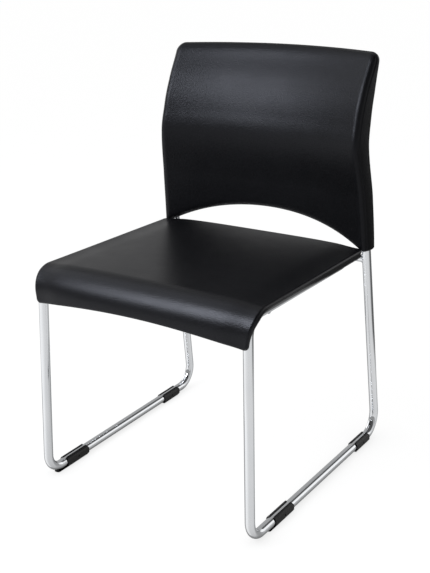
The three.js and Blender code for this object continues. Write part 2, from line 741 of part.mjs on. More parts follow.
// Blocks behind the inner shell that cradle the uprights. They start inside the shell's own thickness.
function saddle(side, z, grow) {
  const { mouth: low, lumbar, top } = sideCorners(side);
  const [from, to] = z < lumbarHeight ? [low, lumbar] : [lumbar, top];
  const axis = from.clone().lerp(to, (z - from.z) / (to.z - from.z));
  const middle = axis.x + (side * (saddleOuter - saddleInner)) / 2;
  const wide = saddleInner + saddleOuter + 2 * grow;
  const deep = tubeDiameter * 2;
  const block = box(wide, deep, saddleHeight + 2 * grow, middle, axis.y + grow - deep / 2, z);
  return block.intersect(behindShell(grow));
}

function forEachSaddle(solid, use) {
  let result = solid;
  for (const side of [1, -1])
    for (const share of [lowerSaddleShare, upperSaddleShare]) result = use(result, side, backHeightAt(share));
  return result;
}

const behindShell = (grow) =>
  backLayer(0, level(backFaceFoam + backShellWall / 2 - grow), level(tubeDiameter * 2), 0, 0);

const tubeClearance = (side) => sweep(sidePath(side), tubeRadius + softFit, 0, 16);

function plugClearance(side) {
  const { lumbar, top: end } = sideCorners(side);
  const axis = end.clone().sub(lumbar).normalize();
  return bar(end.clone().addScaledVector(axis, -plugHead), end.clone().addScaledVector(axis, plugHead * 2),
    tubeRadius + softFit * 2);
}

function backShell() {
  const near = backFaceFoam + softFit;
  const far = backFaceFoam + backShellWall - softFit;
  const plain = backLayer(backShellInset, level(near), level(far), 0, 0);
  let shell = forEachSaddle(plain, (solid, side, z) => solid.add(saddle(side, z, 0)));
  for (const side of [1, -1]) {
    const { centre, out } = screwPlace(side);
    const from = centre.clone().addScaledVector(out, -tubeRadius - backShellWall - softFit * 2);
    const to = centre.clone().addScaledVector(out, overcut);
    shell = shell.subtract(tubeClearance(side)).subtract(bar(from, to, backScrewDiameter / 2 + screwFit, 12));
  }
  return shell;
}

function backFrontPad() {
  const whole = backLayer(0, level(0), level(backSeamDepth), 1, 0);
  const past = backSeamDepth + overcut;
  const pocket = backLayer(backShellInset - softFit, level(backFaceFoam), level(past), 0, 0);
  return forEachSaddle(whole.subtract(pocket), (solid, side, z) => solid.subtract(saddle(side, z, softFit)));
}

function backRearPad() {
  const whole = backLayer(0, level(backSeamDepth + softFit), backDepth, 0, -1);
  const cleared = forEachSaddle(whole, (solid, side, z) => solid.subtract(saddle(side, z, softFit)));
  let pad = cleared;
  for (const side of [1, -1]) {
    const { centre, out } = screwPlace(side);
    const from = centre.clone().addScaledVector(out, tubeRadius / 2);
    const to = centre.clone().addScaledVector(out, overcut * 3);
    pad = pad.subtract(tubeClearance(side)).subtract(plugClearance(side))
      .subtract(bar(from, to, backScrewAccess / 2, 14));
  }
  return pad;
}

function backScrew(side) {
  const { centre, out } = screwPlace(side);
  const seat = centre.clone().addScaledVector(out, tubeRadius + screwFit);
  return screw(seat, out.clone().negate(), backScrewDiameter, tubeDiameter + backShellWall);
}

// The chair
const chair = new THREE.Group();
const seated = new THREE.Group();
chair.add(seated);

function addPiece(name, solid, look) {
  const mesh = new THREE.Mesh(toGeometry(solid), new THREE.MeshStandardMaterial(look));
  mesh.name = name;
  seated.add(mesh);
}

const sides = [["right", 1], ["left", -1]];
for (const [word, side] of sides) {
  addPiece(`side_frame_${word}`, sideFrame(side), chrome);
  addPiece(`upright_end_plug_${word}`, endPlug(side), plastic);
  const frontGlide = glide(frontGlideLength, tongueLength);
  const rearGlide = glide(rearGlideLength, 0);
  const frontGlideY = side > 0 ? rightFrontGlideY : leftFrontGlideY;
  const rearGlideForward = side > 0 ? rightRearGlideForward : leftRearGlideForward;
  addPiece(`glide_front_${word}`, placeGlide(frontGlide, side, frontGlideY), plastic);
  addPiece(`glide_rear_${word}`, placeGlide(rearGlide, side, footDepth - rearGlideForward), plastic);
  addPiece(`back_screw_${word}`, backScrew(side), zinc);
}
addPiece("rear_cross_tube", rearCrossTube(), chrome);
addPiece("front_cross_tube", frontCrossTube(), chrome);
for (const place of seatScrews) {
  addPiece(`seat_tab_${place.name}`, seatTab(place), chrome);
  addPiece(`seat_screw_${place.name}`, seatScrew(place), zinc);
}
addPiece("seat_shell", seatShell(), plastic);
addPiece("seat_pad", seatPad(), vinyl);
addPiece("back_shell", backShell(), plastic);
addPiece("back_front_pad", backFrontPad(), vinyl);
addPiece("back_rear_pad", backRearPad(), vinyl);

const bounds = new THREE.Box3().setFromObject(seated);
seated.position.y = -(bounds.min.y + bounds.max.y) / 2;

export default chair;
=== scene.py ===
"""Sled base visitor chair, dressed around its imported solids.

The chair is two chromed tube loops joined by two cross tubes, four clip-on glides, a waterfall
seat of foam and vinyl on a moulded shell, and an arched back of two pads that hide the uprights.

Sizes are in millimetres, as a maker writes them: x runs to the sitter's left, y to the rear from
the front feet, z up from the floor. Datum turns them into the frame's metres.
"""

from __future__ import annotations

import logging
import math
from dataclasses import dataclass, field
from enum import Enum
from typing import Any, Callable, Sequence

import bmesh
import bpy
import numpy as np
from mathutils import Matrix, Vector


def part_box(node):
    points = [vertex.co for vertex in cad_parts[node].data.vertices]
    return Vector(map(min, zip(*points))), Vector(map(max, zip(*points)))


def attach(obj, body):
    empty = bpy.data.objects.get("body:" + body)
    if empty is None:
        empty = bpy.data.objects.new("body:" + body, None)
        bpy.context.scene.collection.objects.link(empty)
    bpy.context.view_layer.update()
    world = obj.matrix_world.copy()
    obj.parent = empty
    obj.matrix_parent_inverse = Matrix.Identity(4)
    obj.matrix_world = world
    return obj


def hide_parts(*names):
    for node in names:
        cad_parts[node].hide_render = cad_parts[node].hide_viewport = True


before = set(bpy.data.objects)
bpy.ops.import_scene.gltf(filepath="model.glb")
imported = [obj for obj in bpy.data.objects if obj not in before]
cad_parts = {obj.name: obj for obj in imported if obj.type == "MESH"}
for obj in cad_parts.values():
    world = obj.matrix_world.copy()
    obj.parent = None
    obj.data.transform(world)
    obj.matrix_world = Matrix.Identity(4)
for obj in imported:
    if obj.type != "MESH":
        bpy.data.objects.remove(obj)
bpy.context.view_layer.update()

Array = np.ndarray
Pair = tuple[float, float]
Triple = tuple[float, float, float]
Points = list[Pair]

log = logging.getLogger("visitor_chair")

MM = 0.001
BODY = "root"
ACROSS = Vector((1.0, 0.0, 0.0))
WHITE = (1.0, 1.0, 1.0, 1.0)
JOIN_WIDTH = 0.01
MIDDLE_OF_NOISE = (0.3, 0.7)


class Slot(Enum):
    """The record's material slots."""

    CHROME = "chrome"
    SEAT_VINYL = "seat_vinyl"
    BACK_VINYL = "back_vinyl"
    SHELL = "shell_plastic"
    GLIDE = "glide_plastic"
    PLUG = "plug_plastic"
    ZINC = "zinc"


class Side(Enum):
    """The chair's two sides, as the viewer sees them."""

    RIGHT = 1
    LEFT = -1

    @property
    def word(self) -> str:
        """The side's name as the nodes write it."""
        return self.name.lower()


# --- Curves and blends ---


def round_off(distance: Array | float, radius: Array | float) -> Array:
    """How far a rounded edge has fallen at a distance in from it.

    Args:
        distance: distance in from the edge.
        radius: the edge's radius.

    Returns:
        The fall, which is the radius at the edge and nothing from the radius on.
    """
    inner = np.clip(distance, 0.0, radius)
    return radius - np.sqrt(np.maximum(radius**2 - (radius - inner) ** 2, 0.0))


def smooth(value: Array | float, low: float, high: float) -> Array:
    """A smooth step from 0 at low to 1 at high."""
    share = np.clip((np.asarray(value, float) - low) / (high - low), 0.0, 1.0)
    return share * share * (3.0 - 2.0 * share)


def blend(start: Any, end: Any, share: Any) -> Any:
    """The value a share of the way from start to end."""
    return start + (end - start) * share


def bump(value: Array, centre: float, half_width: float) -> Array:
    """A rounded ridge of height 1 round a centre."""
    share = np.clip(np.abs(value - centre) / half_width, 0.0, 1.0)
    return (1.0 - share * share) ** 2


def corner_inside(side: Array, end: Array, radius: float) -> Array:
    """The distance in from an outline with a rounded corner.

    Args:
        side: distance in from the straight side.
        end: distance in from the straight end.
        radius: the corner's radius.

    Returns:
        The distance to the nearest point of the rounded outline.
    """
    rounded = radius - np.hypot(radius - side, radius - end)
    return np.where((side < radius) & (end < radius), rounded, np.minimum(side, end))


def through_pairs(pairs: Sequence[Pair], share: Array) -> Array:
    """A smooth curve through a few pairs.

    Args:
        pairs: each (share, value), in order.
        share: where to read the curve.

    Returns:
        The curve's value at each place.
    """
    at = np.array([pair[0] for pair in pairs], float)
    value = np.array([pair[1] for pair in pairs], float)
    share = np.clip(np.asarray(share, float), at[0], at[-1])
    index = np.clip(np.searchsorted(at, share, side="left") - 1, 0, len(at) - 2)
    part = (share - at[index]) / (at[index + 1] - at[index])
    last = len(at) - 1
    before, here = value[np.maximum(index - 1, 0)], value[index]
    ahead, beyond = value[index + 1], value[np.minimum(index + 2, last)]
    leave, arrive = (ahead - before) / 2, (beyond - here) / 2
    cubic = (2 * here - 2 * ahead + leave + arrive) * part**3
    square = (-3 * here + 3 * ahead - 2 * leave - arrive) * part**2
    return cubic + square + leave * part + here


def edge_steps(radius: float, count: int = 8) -> list[float]:
    """Distances in from an edge that step evenly round its radius."""
    return [radius * (1.0 - math.cos(math.pi / 2 * step / count)) for step in range(count + 1)]


def places_across(
    half: float, radii: Sequence[float], insets: Sequence[float], start: float, count: int = 22
) -> Array:
    """Places across a width as shares of its half, close together at its edges.

    Args:
        half: half the width.
        radii: edge radii that the places step round.
        insets: further distances in from the edges.
        start: distance in from which even steps reach the middle.
        count: how many even steps there are.

    Returns:
        The shares, from one edge to the other.
    """
    near = {round(value, 3) for radius in radii for value in edge_steps(radius)} | set(insets)
    near |= set(np.linspace(start, half, count).round(3))
    places = sorted(1.0 - value / half for value in near)
    return np.array([-place for place in reversed(places) if place > 0] + places)


# --- Shapes ---


@dataclass
class Shape:
    """Points in millimetres and the faces between them."""

    points: Array
    faces: list[tuple[int, ...]]


@dataclass(frozen=True)
class BentPath:
    """A line of straight runs joined by round bends, with the way ahead at each point."""

    points: list[Vector]
    ways: list[Vector]

    @classmethod
    def through(
        cls, corners: Sequence[Vector], radii: Sequence[float], step: float = 4.0
    ) -> "BentPath":
        """Rounds the corners of a line.

        Args:
            corners: the line's points, its two ends among them.
            radii: one bend radius for each inner corner.
            step: degrees of bend between two points.

        Returns:
            The rounded path.
        """
        points = [corners[0].copy()]
        ways = [(corners[1] - corners[0]).normalized()]
        for before, corner, after, radius in zip(corners, corners[1:], corners[2:], radii):
            back = (before - corner).normalized()
            ahead = (after - corner).normalized()
            turn = math.pi - back.angle(ahead)
            start = corner + back * radius * math.tan(turn / 2)
            inward = (ahead + back * ahead.dot(-back)).normalized()
            steps = max(2, round(math.degrees(turn) / step))
            for index in range(steps + 1):
                angle = turn * index / steps
                reach = -back * radius * math.sin(angle)
                points.append(start + reach + inward * radius * (1 - math.cos(angle)))
                ways.append((-back * math.cos(angle) + inward * math.sin(angle)).normalized())
        points.append(corners[-1].copy())
        ways.append((corners[-1] - corners[-2]).normalized())
        return cls(points, ways)


def spokes(first: Vector, second: Vector, count: int) -> list[Vector]:
    """Unit spokes round a wheel, from its first direction towards its second."""
    angles = (2 * math.pi * index / count for index in range(count))
    return [first * math.cos(angle) + second * math.sin(angle) for angle in angles]


def bands(rings: int, size: int, closed: bool = False) -> list[tuple[int, ...]]:
    """The faces between rings of like points.

    Args:
        rings: how many rings there are.
        size: how many points each has.
        closed: whether the last ring joins the first.

    Returns:
        The faces.
    """
    faces = []
    for ring in range(rings if closed else rings - 1):
        low, high = ring * size, (ring + 1) % rings * size
        for index in range(size):
            ahead = (index + 1) % size
            faces.append((low + index, low + ahead, high + ahead, high + index))
    return faces


def lofted(outlines: Sequence[Any]) -> Shape:
    """A closed shape through a row of like outlines.

    Args:
        outlines: the outlines, from one end to the other.

    Returns:
        The closed shape.
    """
    count, size = len(outlines), len(outlines[0])
    ends = [tuple(range(size))[::-1], tuple(range((count - 1) * size, count * size))]
    points = np.vstack([np.array(outline) for outline in outlines])
    return Shape(points, bands(count, size) + ends)


def sweep(path: BentPath, radius: float, sides: int = 32) -> Shape:
    """A round bar along a path, with flat ends.

    Args:
        path: the bar's centre line.
        radius: the bar's radius.
        sides: how many sides its section has.

    Returns:
        The closed bar.
    """
    normal = path.ways[0].orthogonal().normalized()
    rings = []
    for point, way in zip(path.points, path.ways):
        normal = (normal - way * normal.dot(way)).normalized()
        rings.append([point + spoke * radius for spoke in spokes(normal, way.cross(normal), sides)])
    return lofted(rings)


def bar(start: Vector, end: Vector, radius: float, sides: int = 32) -> Shape:
    """A straight round bar between two points."""
    return sweep(BentPath.through([start, end], []), radius, sides)


def rim_places(rows: int, columns: int) -> list[tuple[int, int]]:
    """The places round the rim of a grid, in order.

    Args:
        rows: the grid's rows.
        columns: the grid's columns.

    Returns:
        Each place's (row, column).
    """
    places = [(0, column) for column in range(columns - 1)]
    places += [(row, columns - 1) for row in range(rows - 1)]
    places += [(rows - 1, column) for column in range(columns - 1, 0, -1)]
    places += [(row, 0) for row in range(rows - 1, 0, -1)]
    return places


def closed_sheet(upper: Array, lower: Array, rims: Sequence[Array]) -> Shape:
    """A closed pad between two grids of points.

    Args:
        upper: the upper grid, rows by columns by 3.
        lower: the lower grid, of the same size.
        rims: grids of the same size whose rims lie between the two, from upper to lower.

    Returns:
        The closed shape.
    """
    rows, columns = upper.shape[:2]
    places = rim_places(rows, columns)
    down, along = (np.array(part) for part in zip(*places))
    blocks = [upper.reshape(-1, 3), lower.reshape(-1, 3)]
    blocks += [grid[down, along] for grid in rims]
    size, around = rows * columns, len(places)
    faces: list[tuple[int, ...]] = []
    for row in range(rows - 1):
        for column in range(columns - 1):
            corner = row * columns + column
            quad = (corner, corner + 1, corner + columns + 1, corner + columns)
            faces.append(quad)
            faces.append(tuple(size + index for index in reversed(quad)))
    edge = [row * columns + column for row, column in places]
    starts = [2 * size + index * around for index in range(len(rims))]
    rings = [edge, *(range(start, start + around) for start in starts)]
    rings.append([size + index for index in edge])
    for ring, following in zip(rings, rings[1:]):
        for index in range(around):
            ahead = (index + 1) % around
            faces.append((ring[ahead], ring[index], following[index], following[ahead]))
    return Shape(np.vstack(blocks), faces)


# --- Finishes ---


class NodeBoard:
    """The nodes of one material or world, added and joined in short lines."""

    def __init__(self, owner: bpy.types.Material | bpy.types.World) -> None:
        """Start an empty node tree.

        Args:
            owner: what the nodes belong to.
        """
        self.owner = owner
        owner.use_nodes = True
        self.tree = owner.node_tree
        self.tree.nodes.clear()

    @classmethod
    def paint(cls, name: str) -> "NodeBoard":
        """The board of a new material."""
        return cls(bpy.data.materials.new(name))

    def add(
        self, kind: str, sockets: dict[Any, Any] | None = None, **settings: Any
    ) -> bpy.types.Node:
        """Add a node.

        Args:
            kind: the node's type, without its ShaderNode prefix.
            sockets: a value, or another node's output, for each input by name or number.
            settings: the node's own settings.

        Returns:
            The new node.
        """
        node = self.tree.nodes.new("ShaderNode" + kind)
        for name, value in settings.items():
            setattr(node, name, value)
        for key, value in (sockets or {}).items():
            if isinstance(value, bpy.types.NodeSocket):
                self.tree.links.new(value, node.inputs[key])
            else:
                node.inputs[key].default_value = value
        return node

    def place(self) -> bpy.types.NodeSocket:
        """The point on the piece, in metres."""
        return self.add("TexCoord").outputs["Object"]

    def noise(self, where: Any, scale: float, detail: float = 3.0, roughness: float = 0.55) -> Any:
        """Soft noise.

        Args:
            where: the point to read it at.
            scale: waves per metre.
            detail: how many finer layers it has.
            roughness: how strong the finer layers are.

        Returns:
            The noise node's value output.
        """
        sockets = {"Vector": where, "Scale": scale, "Detail": detail, "Roughness": roughness}
        return self.add("TexNoise", sockets).outputs["Fac"]

    def ranged(
        self, value: Any, start: Pair, end: Pair = (0.0, 1.0)
    ) -> Any:
        """A value moved from one range to another.

        Args:
            value: the value.
            start: its own range.
            end: the range to move it to.

        Returns:
            The moved value.
        """
        sockets = {"Value": value, "From Min": start[0], "From Max": start[1]}
        sockets |= {"To Min": end[0], "To Max": end[1]}
        return self.add("MapRange", sockets).outputs["Result"]

    def shades(self, value: Any, low: Sequence[float], high: Sequence[float]) -> Any:
        """A colour between two shades.

        Args:
            value: where it lies between them.
            low: the shade at low values.
            high: the shade at high values.

        Returns:
            The colour.
        """
        ramp = self.add("ValToRGB", {"Fac": value})
        stops = zip(ramp.color_ramp.elements, MIDDLE_OF_NOISE, (low, high))
        for stop, position, shade in stops:
            stop.position = position
            stop.color = (*shade, 1.0)
        return ramp.outputs["Color"]

    def sum(self, first: Any, second: Any, share: float) -> Any:
        """One value plus a share of another."""
        sockets = {0: second, 1: share, 2: first}
        return self.add("Math", sockets, operation="MULTIPLY_ADD").outputs[0]

    def relief(self, height: Any, depth: float, strength: float) -> Any:
        """A surface relief of a height and a depth in metres."""
        sockets = {"Height": height, "Distance": depth, "Strength": strength}
        return self.add("Bump", sockets).outputs["Normal"]

    def light(self, kind: str, colour: Any, strength: Any = 1.0) -> Any:
        """A surface or sky that gives light."""
        return self.add(kind, {"Color": colour, "Strength": strength}).outputs[0]

    def mix(self, share: Any, first: Any, second: Any) -> Any:
        """A blend of two shaders."""
        return self.add("MixShader", {0: share, 1: first, 2: second}).outputs[0]

    def finish(self, sockets: dict[str, Any]) -> bpy.types.Material:
        """Close a material with its shader.

        Args:
            sockets: the shader's inputs.

        Returns:
            The material.
        """
        shader = self.add("BsdfPrincipled", sockets)
        self.add("OutputMaterial", {"Surface": shader.outputs["BSDF"]})
        return self.owner

    def split(self, output: str, others: Any, mirrors: Any, camera: Any) -> None:
        """Close a tree whose look depends on the ray that meets it.

        Args:
            output: the output node's type.
            others: what all other rays meet.
            mirrors: what glossy and transmitted rays meet.
            camera: what the camera meets.
        """
        path = self.add("LightPath").outputs
        kinds = {0: path["Is Glossy Ray"], 1: path["Is Transmission Ray"]}
        mirrored = self.add("Math", kinds, operation="MAXIMUM").outputs[0]
        lit = self.mix(mirrored, others, mirrors)
        self.add(output, {"Surface": self.mix(path["Is Camera Ray"], lit, camera)})


@dataclass(frozen=True)
class ChromeFinish:
    """Bright chrome plate on drawn tube, with the tube's faint draw waves under it."""

    name: str
    dark: Triple = (0.66, 0.675, 0.695)
    bright: Triple = (0.71, 0.72, 0.735)
    polish: Pair = (0.05, 0.08)
    cloud_waves: float = 9.0
    fine_waves: float = 420.0
    fine_share: float = 0.25
    draw_waves: float = 45.0
    wave_depth: float = 0.00001
    wave_strength: float = 0.5

    def material(self) -> bpy.types.Material:
        """Make the material.

        Returns:
            The material.
        """
        board = NodeBoard.paint(self.name)
        where = board.place()
        broad = board.noise(where, self.cloud_waves, 2.0)
        mottle = board.sum(broad, board.noise(where, self.fine_waves, 2.0), self.fine_share)
        waves = board.noise(where, self.draw_waves, 1.0)
        return board.finish(
            {
                "Base Color": board.shades(broad, self.dark, self.bright),
                "Metallic": 1.0,
                "Roughness": board.ranged(mottle, MIDDLE_OF_NOISE, self.polish),
                "Normal": board.relief(waves, self.wave_depth, self.wave_strength),
            }
        )


@dataclass(frozen=True)
class VinylFinish:
    """Black upholstery vinyl with a pebbled leather grain."""

    name: str
    valley: Triple = (0.0030, 0.0030, 0.0034)
    pebble: Triple = (0.0056, 0.0056, 0.0064)
    grain: float = 0.0017
    grain_depth: float = 0.00024
    grain_strength: float = 0.7
    pebble_edge: Pair = (0.1, 0.75)
    pebble_ease: float = 0.6
    crease_waves: float = 260.0
    crease_share: float = 1.5
    crease_mottle: float = 0.2
    cloud_waves: float = 14.0
    cloud_share: float = 0.4
    sheen: Pair = (0.31, 0.37)
    gloss: float = 0.17
    tint: tuple[float, float, float, float] = (0.88, 0.9, 1.0, 1.0)

    def pebbles(self, board: NodeBoard, where: Any) -> Any:
        """The grain's rounded pebbles.

        Args:
            board: the nodes to add them to.
            where: the point on the piece.

        Returns:
            1 at the pebbles' tops and 0 between them.
        """
        warp = board.add("TexNoise", {"Vector": where, "Scale": self.crease_waves, "Detail": 2.0})
        sockets = {0: warp.outputs["Color"], 1: (self.grain,) * 3}
        shift = board.add("VectorMath", sockets, operation="MULTIPLY").outputs[0]
        warped = board.add("VectorMath", {0: where, 1: shift}, operation="ADD").outputs[0]
        sockets = {"Vector": warped, "Scale": 1.0 / self.grain, "Smoothness": self.pebble_ease}
        cells = board.add("TexVoronoi", sockets, feature="SMOOTH_F1")
        return board.ranged(cells.outputs["Distance"], self.pebble_edge, (1.0, 0.0))

    def material(self) -> bpy.types.Material:
        """Make the material.

        Returns:
            The material.
        """
        board = NodeBoard.paint(self.name)
        where = board.place()
        pebbles = self.pebbles(board, where)
        creases = board.noise(where, self.crease_waves, 3.0, 0.5)
        broad = board.noise(where, self.cloud_waves, 2.0)
        height = board.sum(pebbles, creases, self.crease_share)
        shade = board.sum(pebbles, broad, self.cloud_share)
        mottle = board.sum(broad, creases, self.crease_mottle)
        return board.finish(
            {
                "Base Color": board.shades(shade, self.valley, self.pebble),
                "Roughness": board.ranged(mottle, MIDDLE_OF_NOISE, self.sheen),
                "Specular IOR Level": self.gloss,
                "Specular Tint": self.tint,
                "Normal": board.relief(height, self.grain_depth, self.grain_strength),
            }
        )


@dataclass(frozen=True)
class PlasticFinish:
    """Moulded black plastic with a fine spark-eroded texture."""

    name: str
    dark: Triple = (0.0038, 0.0038, 0.0042)
    pale: Triple = (0.0072, 0.0072, 0.0078)
    roughness: Pair = (0.34, 0.46)
    gloss: float = 0.28
    grain: float = 0.0005
    grain_depth: float = 0.000018
    grain_strength: float = 0.6
    grain_share: float = 0.15
    cloud_waves: float = 30.0

    def material(self) -> bpy.types.Material:
        """Make the material.

        Returns:
            The material.
        """
        board = NodeBoard.paint(self.name)
        where = board.place()
        grain = board.noise(where, 1.0 / self.grain, 3.0, 0.7)
        broad = board.noise(where, self.cloud_waves, 3.0)
        shade = board.sum(broad, grain, self.grain_share)
        return board.finish(
            {
                "Base Color": board.shades(shade, self.dark, self.pale),
                "Roughness": board.ranged(broad, MIDDLE_OF_NOISE, self.roughness),
                "Specular IOR Level": self.gloss,
                "Normal": board.relief(grain, self.grain_depth, self.grain_strength),
            }
        )


@dataclass(frozen=True)
class PlatedFinish:
    """Plated metal with a cloudy, uneven surface, for screws and welds."""

    name: str
    dark: Triple
    pale: Triple
    roughness: Pair
    waves: float
    depth: float
    strength: float

    def material(self) -> bpy.types.Material:
        """Make the material.

        Returns:
            The material.
        """
        board = NodeBoard.paint(self.name)
        cloud = board.noise(board.place(), self.waves, 3.0)
        return board.finish(
            {
                "Base Color": board.shades(cloud, self.dark, self.pale),
                "Metallic": 1.0,
                "Roughness": board.ranged(cloud, MIDDLE_OF_NOISE, self.roughness),
                "Normal": board.relief(cloud, self.depth, self.strength),
            }
        )


ZINC = PlatedFinish(
    "zinc_plate",
    dark=(0.42, 0.43, 0.45),
    pale=(0.58, 0.59, 0.61),
    roughness=(0.24, 0.38),
    waves=700.0,
    depth=0.00002,
    strength=0.4,
)
WELD = PlatedFinish(
    "weld_metal",
    dark=(0.50, 0.51, 0.53),
    pale=(0.72, 0.73, 0.75),
    roughness=(0.14, 0.28),
    waves=600.0,
    depth=0.00008,
    strength=0.6,
)
SEAT_VINYL = VinylFinish("seat_vinyl_black", grain_depth=0.00014, sheen=(0.28, 0.34), gloss=0.22)


# --- Making pieces ---


@dataclass(frozen=True)
class Datum:
    """Where the maker's millimetres lie in the frame."""

    shift: float

    @classmethod
    def from_cross_tube(cls, front_cross_y: float) -> "Datum":
        """Read the datum off the front cross tube, whose place along the chair is known."""
        low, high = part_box("front_cross_tube")
        return cls(front_cross_y - (low.y + high.y) / 2 / MM)

    def place(self, points: Array) -> Array:
        """Move points into the frame.

        Args:
            points: the points in millimetres.

        Returns:
            The points in metres.
        """
        moved = np.array(points, float)
        moved[:, 1] -= self.shift
        return moved * MM


def placed(name: str, data: bpy.types.ID) -> bpy.types.Object:
    """Put something into the scene.

    Args:
        name: its name.
        data: its mesh, lamp or camera data.

    Returns:
        The new object.
    """
    made = bpy.data.objects.new(name, data)
    bpy.context.scene.collection.objects.link(made)
    return made


class Workshop:
    """Turns shapes into dressed pieces that ride on the chair."""

    def __init__(self, datum: Datum) -> None:
        """Lay out the finishes.

        Args:
            datum: where the sizes lie in the frame.
        """
        self.datum = datum
        self.materials = {
            Slot.CHROME: ChromeFinish("chrome_plate").material(),
            Slot.SEAT_VINYL: SEAT_VINYL.material(),
            Slot.BACK_VINYL: VinylFinish("back_vinyl_black").material(),
            Slot.SHELL: PlasticFinish("shell_plastic_black").material(),
            Slot.GLIDE: PlasticFinish("glide_plastic_black", grain=0.0004).material(),
            Slot.PLUG: PlasticFinish("plug_plastic_black").material(),
            Slot.ZINC: ZINC.material(),
        }
        self.weld = WELD.material()

    def mesh(self, name: str, shape: Shape, sharp_degrees: float) -> bpy.types.Mesh:
        """Make a smooth mesh whose faces point outwards.

        Args:
            name: the mesh's name.
            shape: its points and faces.
            sharp_degrees: edges that turn more than this stay sharp.

        Returns:
            The mesh, in metres.
        """
        mesh = bpy.data.meshes.new(name)
        mesh.from_pydata(self.datum.place(shape.points).tolist(), [], shape.faces)
        solid = bmesh.new()
        solid.from_mesh(mesh)
        bmesh.ops.recalc_face_normals(solid, faces=solid.faces)
        if solid.calc_volume(signed=True) < 0:
            bmesh.ops.reverse_faces(solid, faces=solid.faces)
        for face in solid.faces:
            face.smooth = True
        solid.to_mesh(mesh)
        solid.free()
        mesh.set_sharp_from_angle(angle=math.radians(sharp_degrees))
        return mesh

    def piece(
        self,
        name: str,
        shape: Shape,
        slot: Slot,
        stands_for: Sequence[str] = (),
        sharp_degrees: float = 40.0,
        material: bpy.types.Material | None = None,
    ) -> bpy.types.Object:
        """Make a piece that rides on the chair.

        Args:
            name: the piece's name.
            shape: its shape.
            slot: the record's slot that it takes its finish from.
            stands_for: the nodes that it replaces.
            sharp_degrees: edges that turn more than this stay sharp.
            material: a finish other than the slot's own.

        Returns:
            The piece.
        """
        made = placed(name, self.mesh(name, shape, sharp_degrees))
        made.data.materials.append(material or self.materials[slot])
        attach(made, BODY)
        if stands_for:
            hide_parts(*stands_for)
        log.info("%s: %d faces", name, len(made.data.polygons))
        return made

    def dress(self, node: str, slot: Slot, edge: float = 0.35) -> bpy.types.Object:
        """Give a node that keeps its own shape its finish and softened edges.

        Args:
            node: the node's name.
            slot: the slot that it takes its finish from.
            edge: the width of its softened edges.

        Returns:
            The node's object.
        """
        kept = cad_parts[node]
        kept.data.materials.clear()
        kept.data.materials.append(self.materials[slot])
        weld = kept.modifiers.new("joined_corners", "WELD")
        weld.merge_threshold = JOIN_WIDTH * MM
        soften(kept, edge, segments=2, degrees=35.0)
        log.info("%s: kept node, %s", node, slot.value)
        return kept


def soften(
    piece: bpy.types.Object, width: float, segments: int, degrees: float
) -> bpy.types.BevelModifier:
    """Round a piece's edges.

    Args:
        piece: the piece.
        width: the width of the rounded edge.
        segments: how many faces it has.
        degrees: edges that turn more than this are rounded.

    Returns:
        The modifier.
    """
    soft = piece.modifiers.new("soft_edges", "BEVEL")
    soft.width = width * MM
    soft.segments = segments
    soft.limit_method = "ANGLE"
    soft.angle_limit = math.radians(degrees)
    return soft


def combined(base: bpy.types.Object, tools: Sequence[tuple[bpy.types.Object, str]]) -> None:
    """Cut and join a piece with helper solids, which are then removed.

    Args:
        base: the piece.
        tools: each helper and DIFFERENCE or UNION.
    """
    for tool, operation in tools:
        step = base.modifiers.new("cut", "BOOLEAN")
        step.operation = operation
        step.solver = "EXACT"
        step.object = tool
    graph = bpy.context.evaluated_depsgraph_get()
    made = bpy.data.meshes.new_from_object(base.evaluated_get(graph))
    base.modifiers.clear()
    base.data = made
    for tool, _ in tools:
        bpy.data.objects.remove(tool)


# --- The tube frame ---


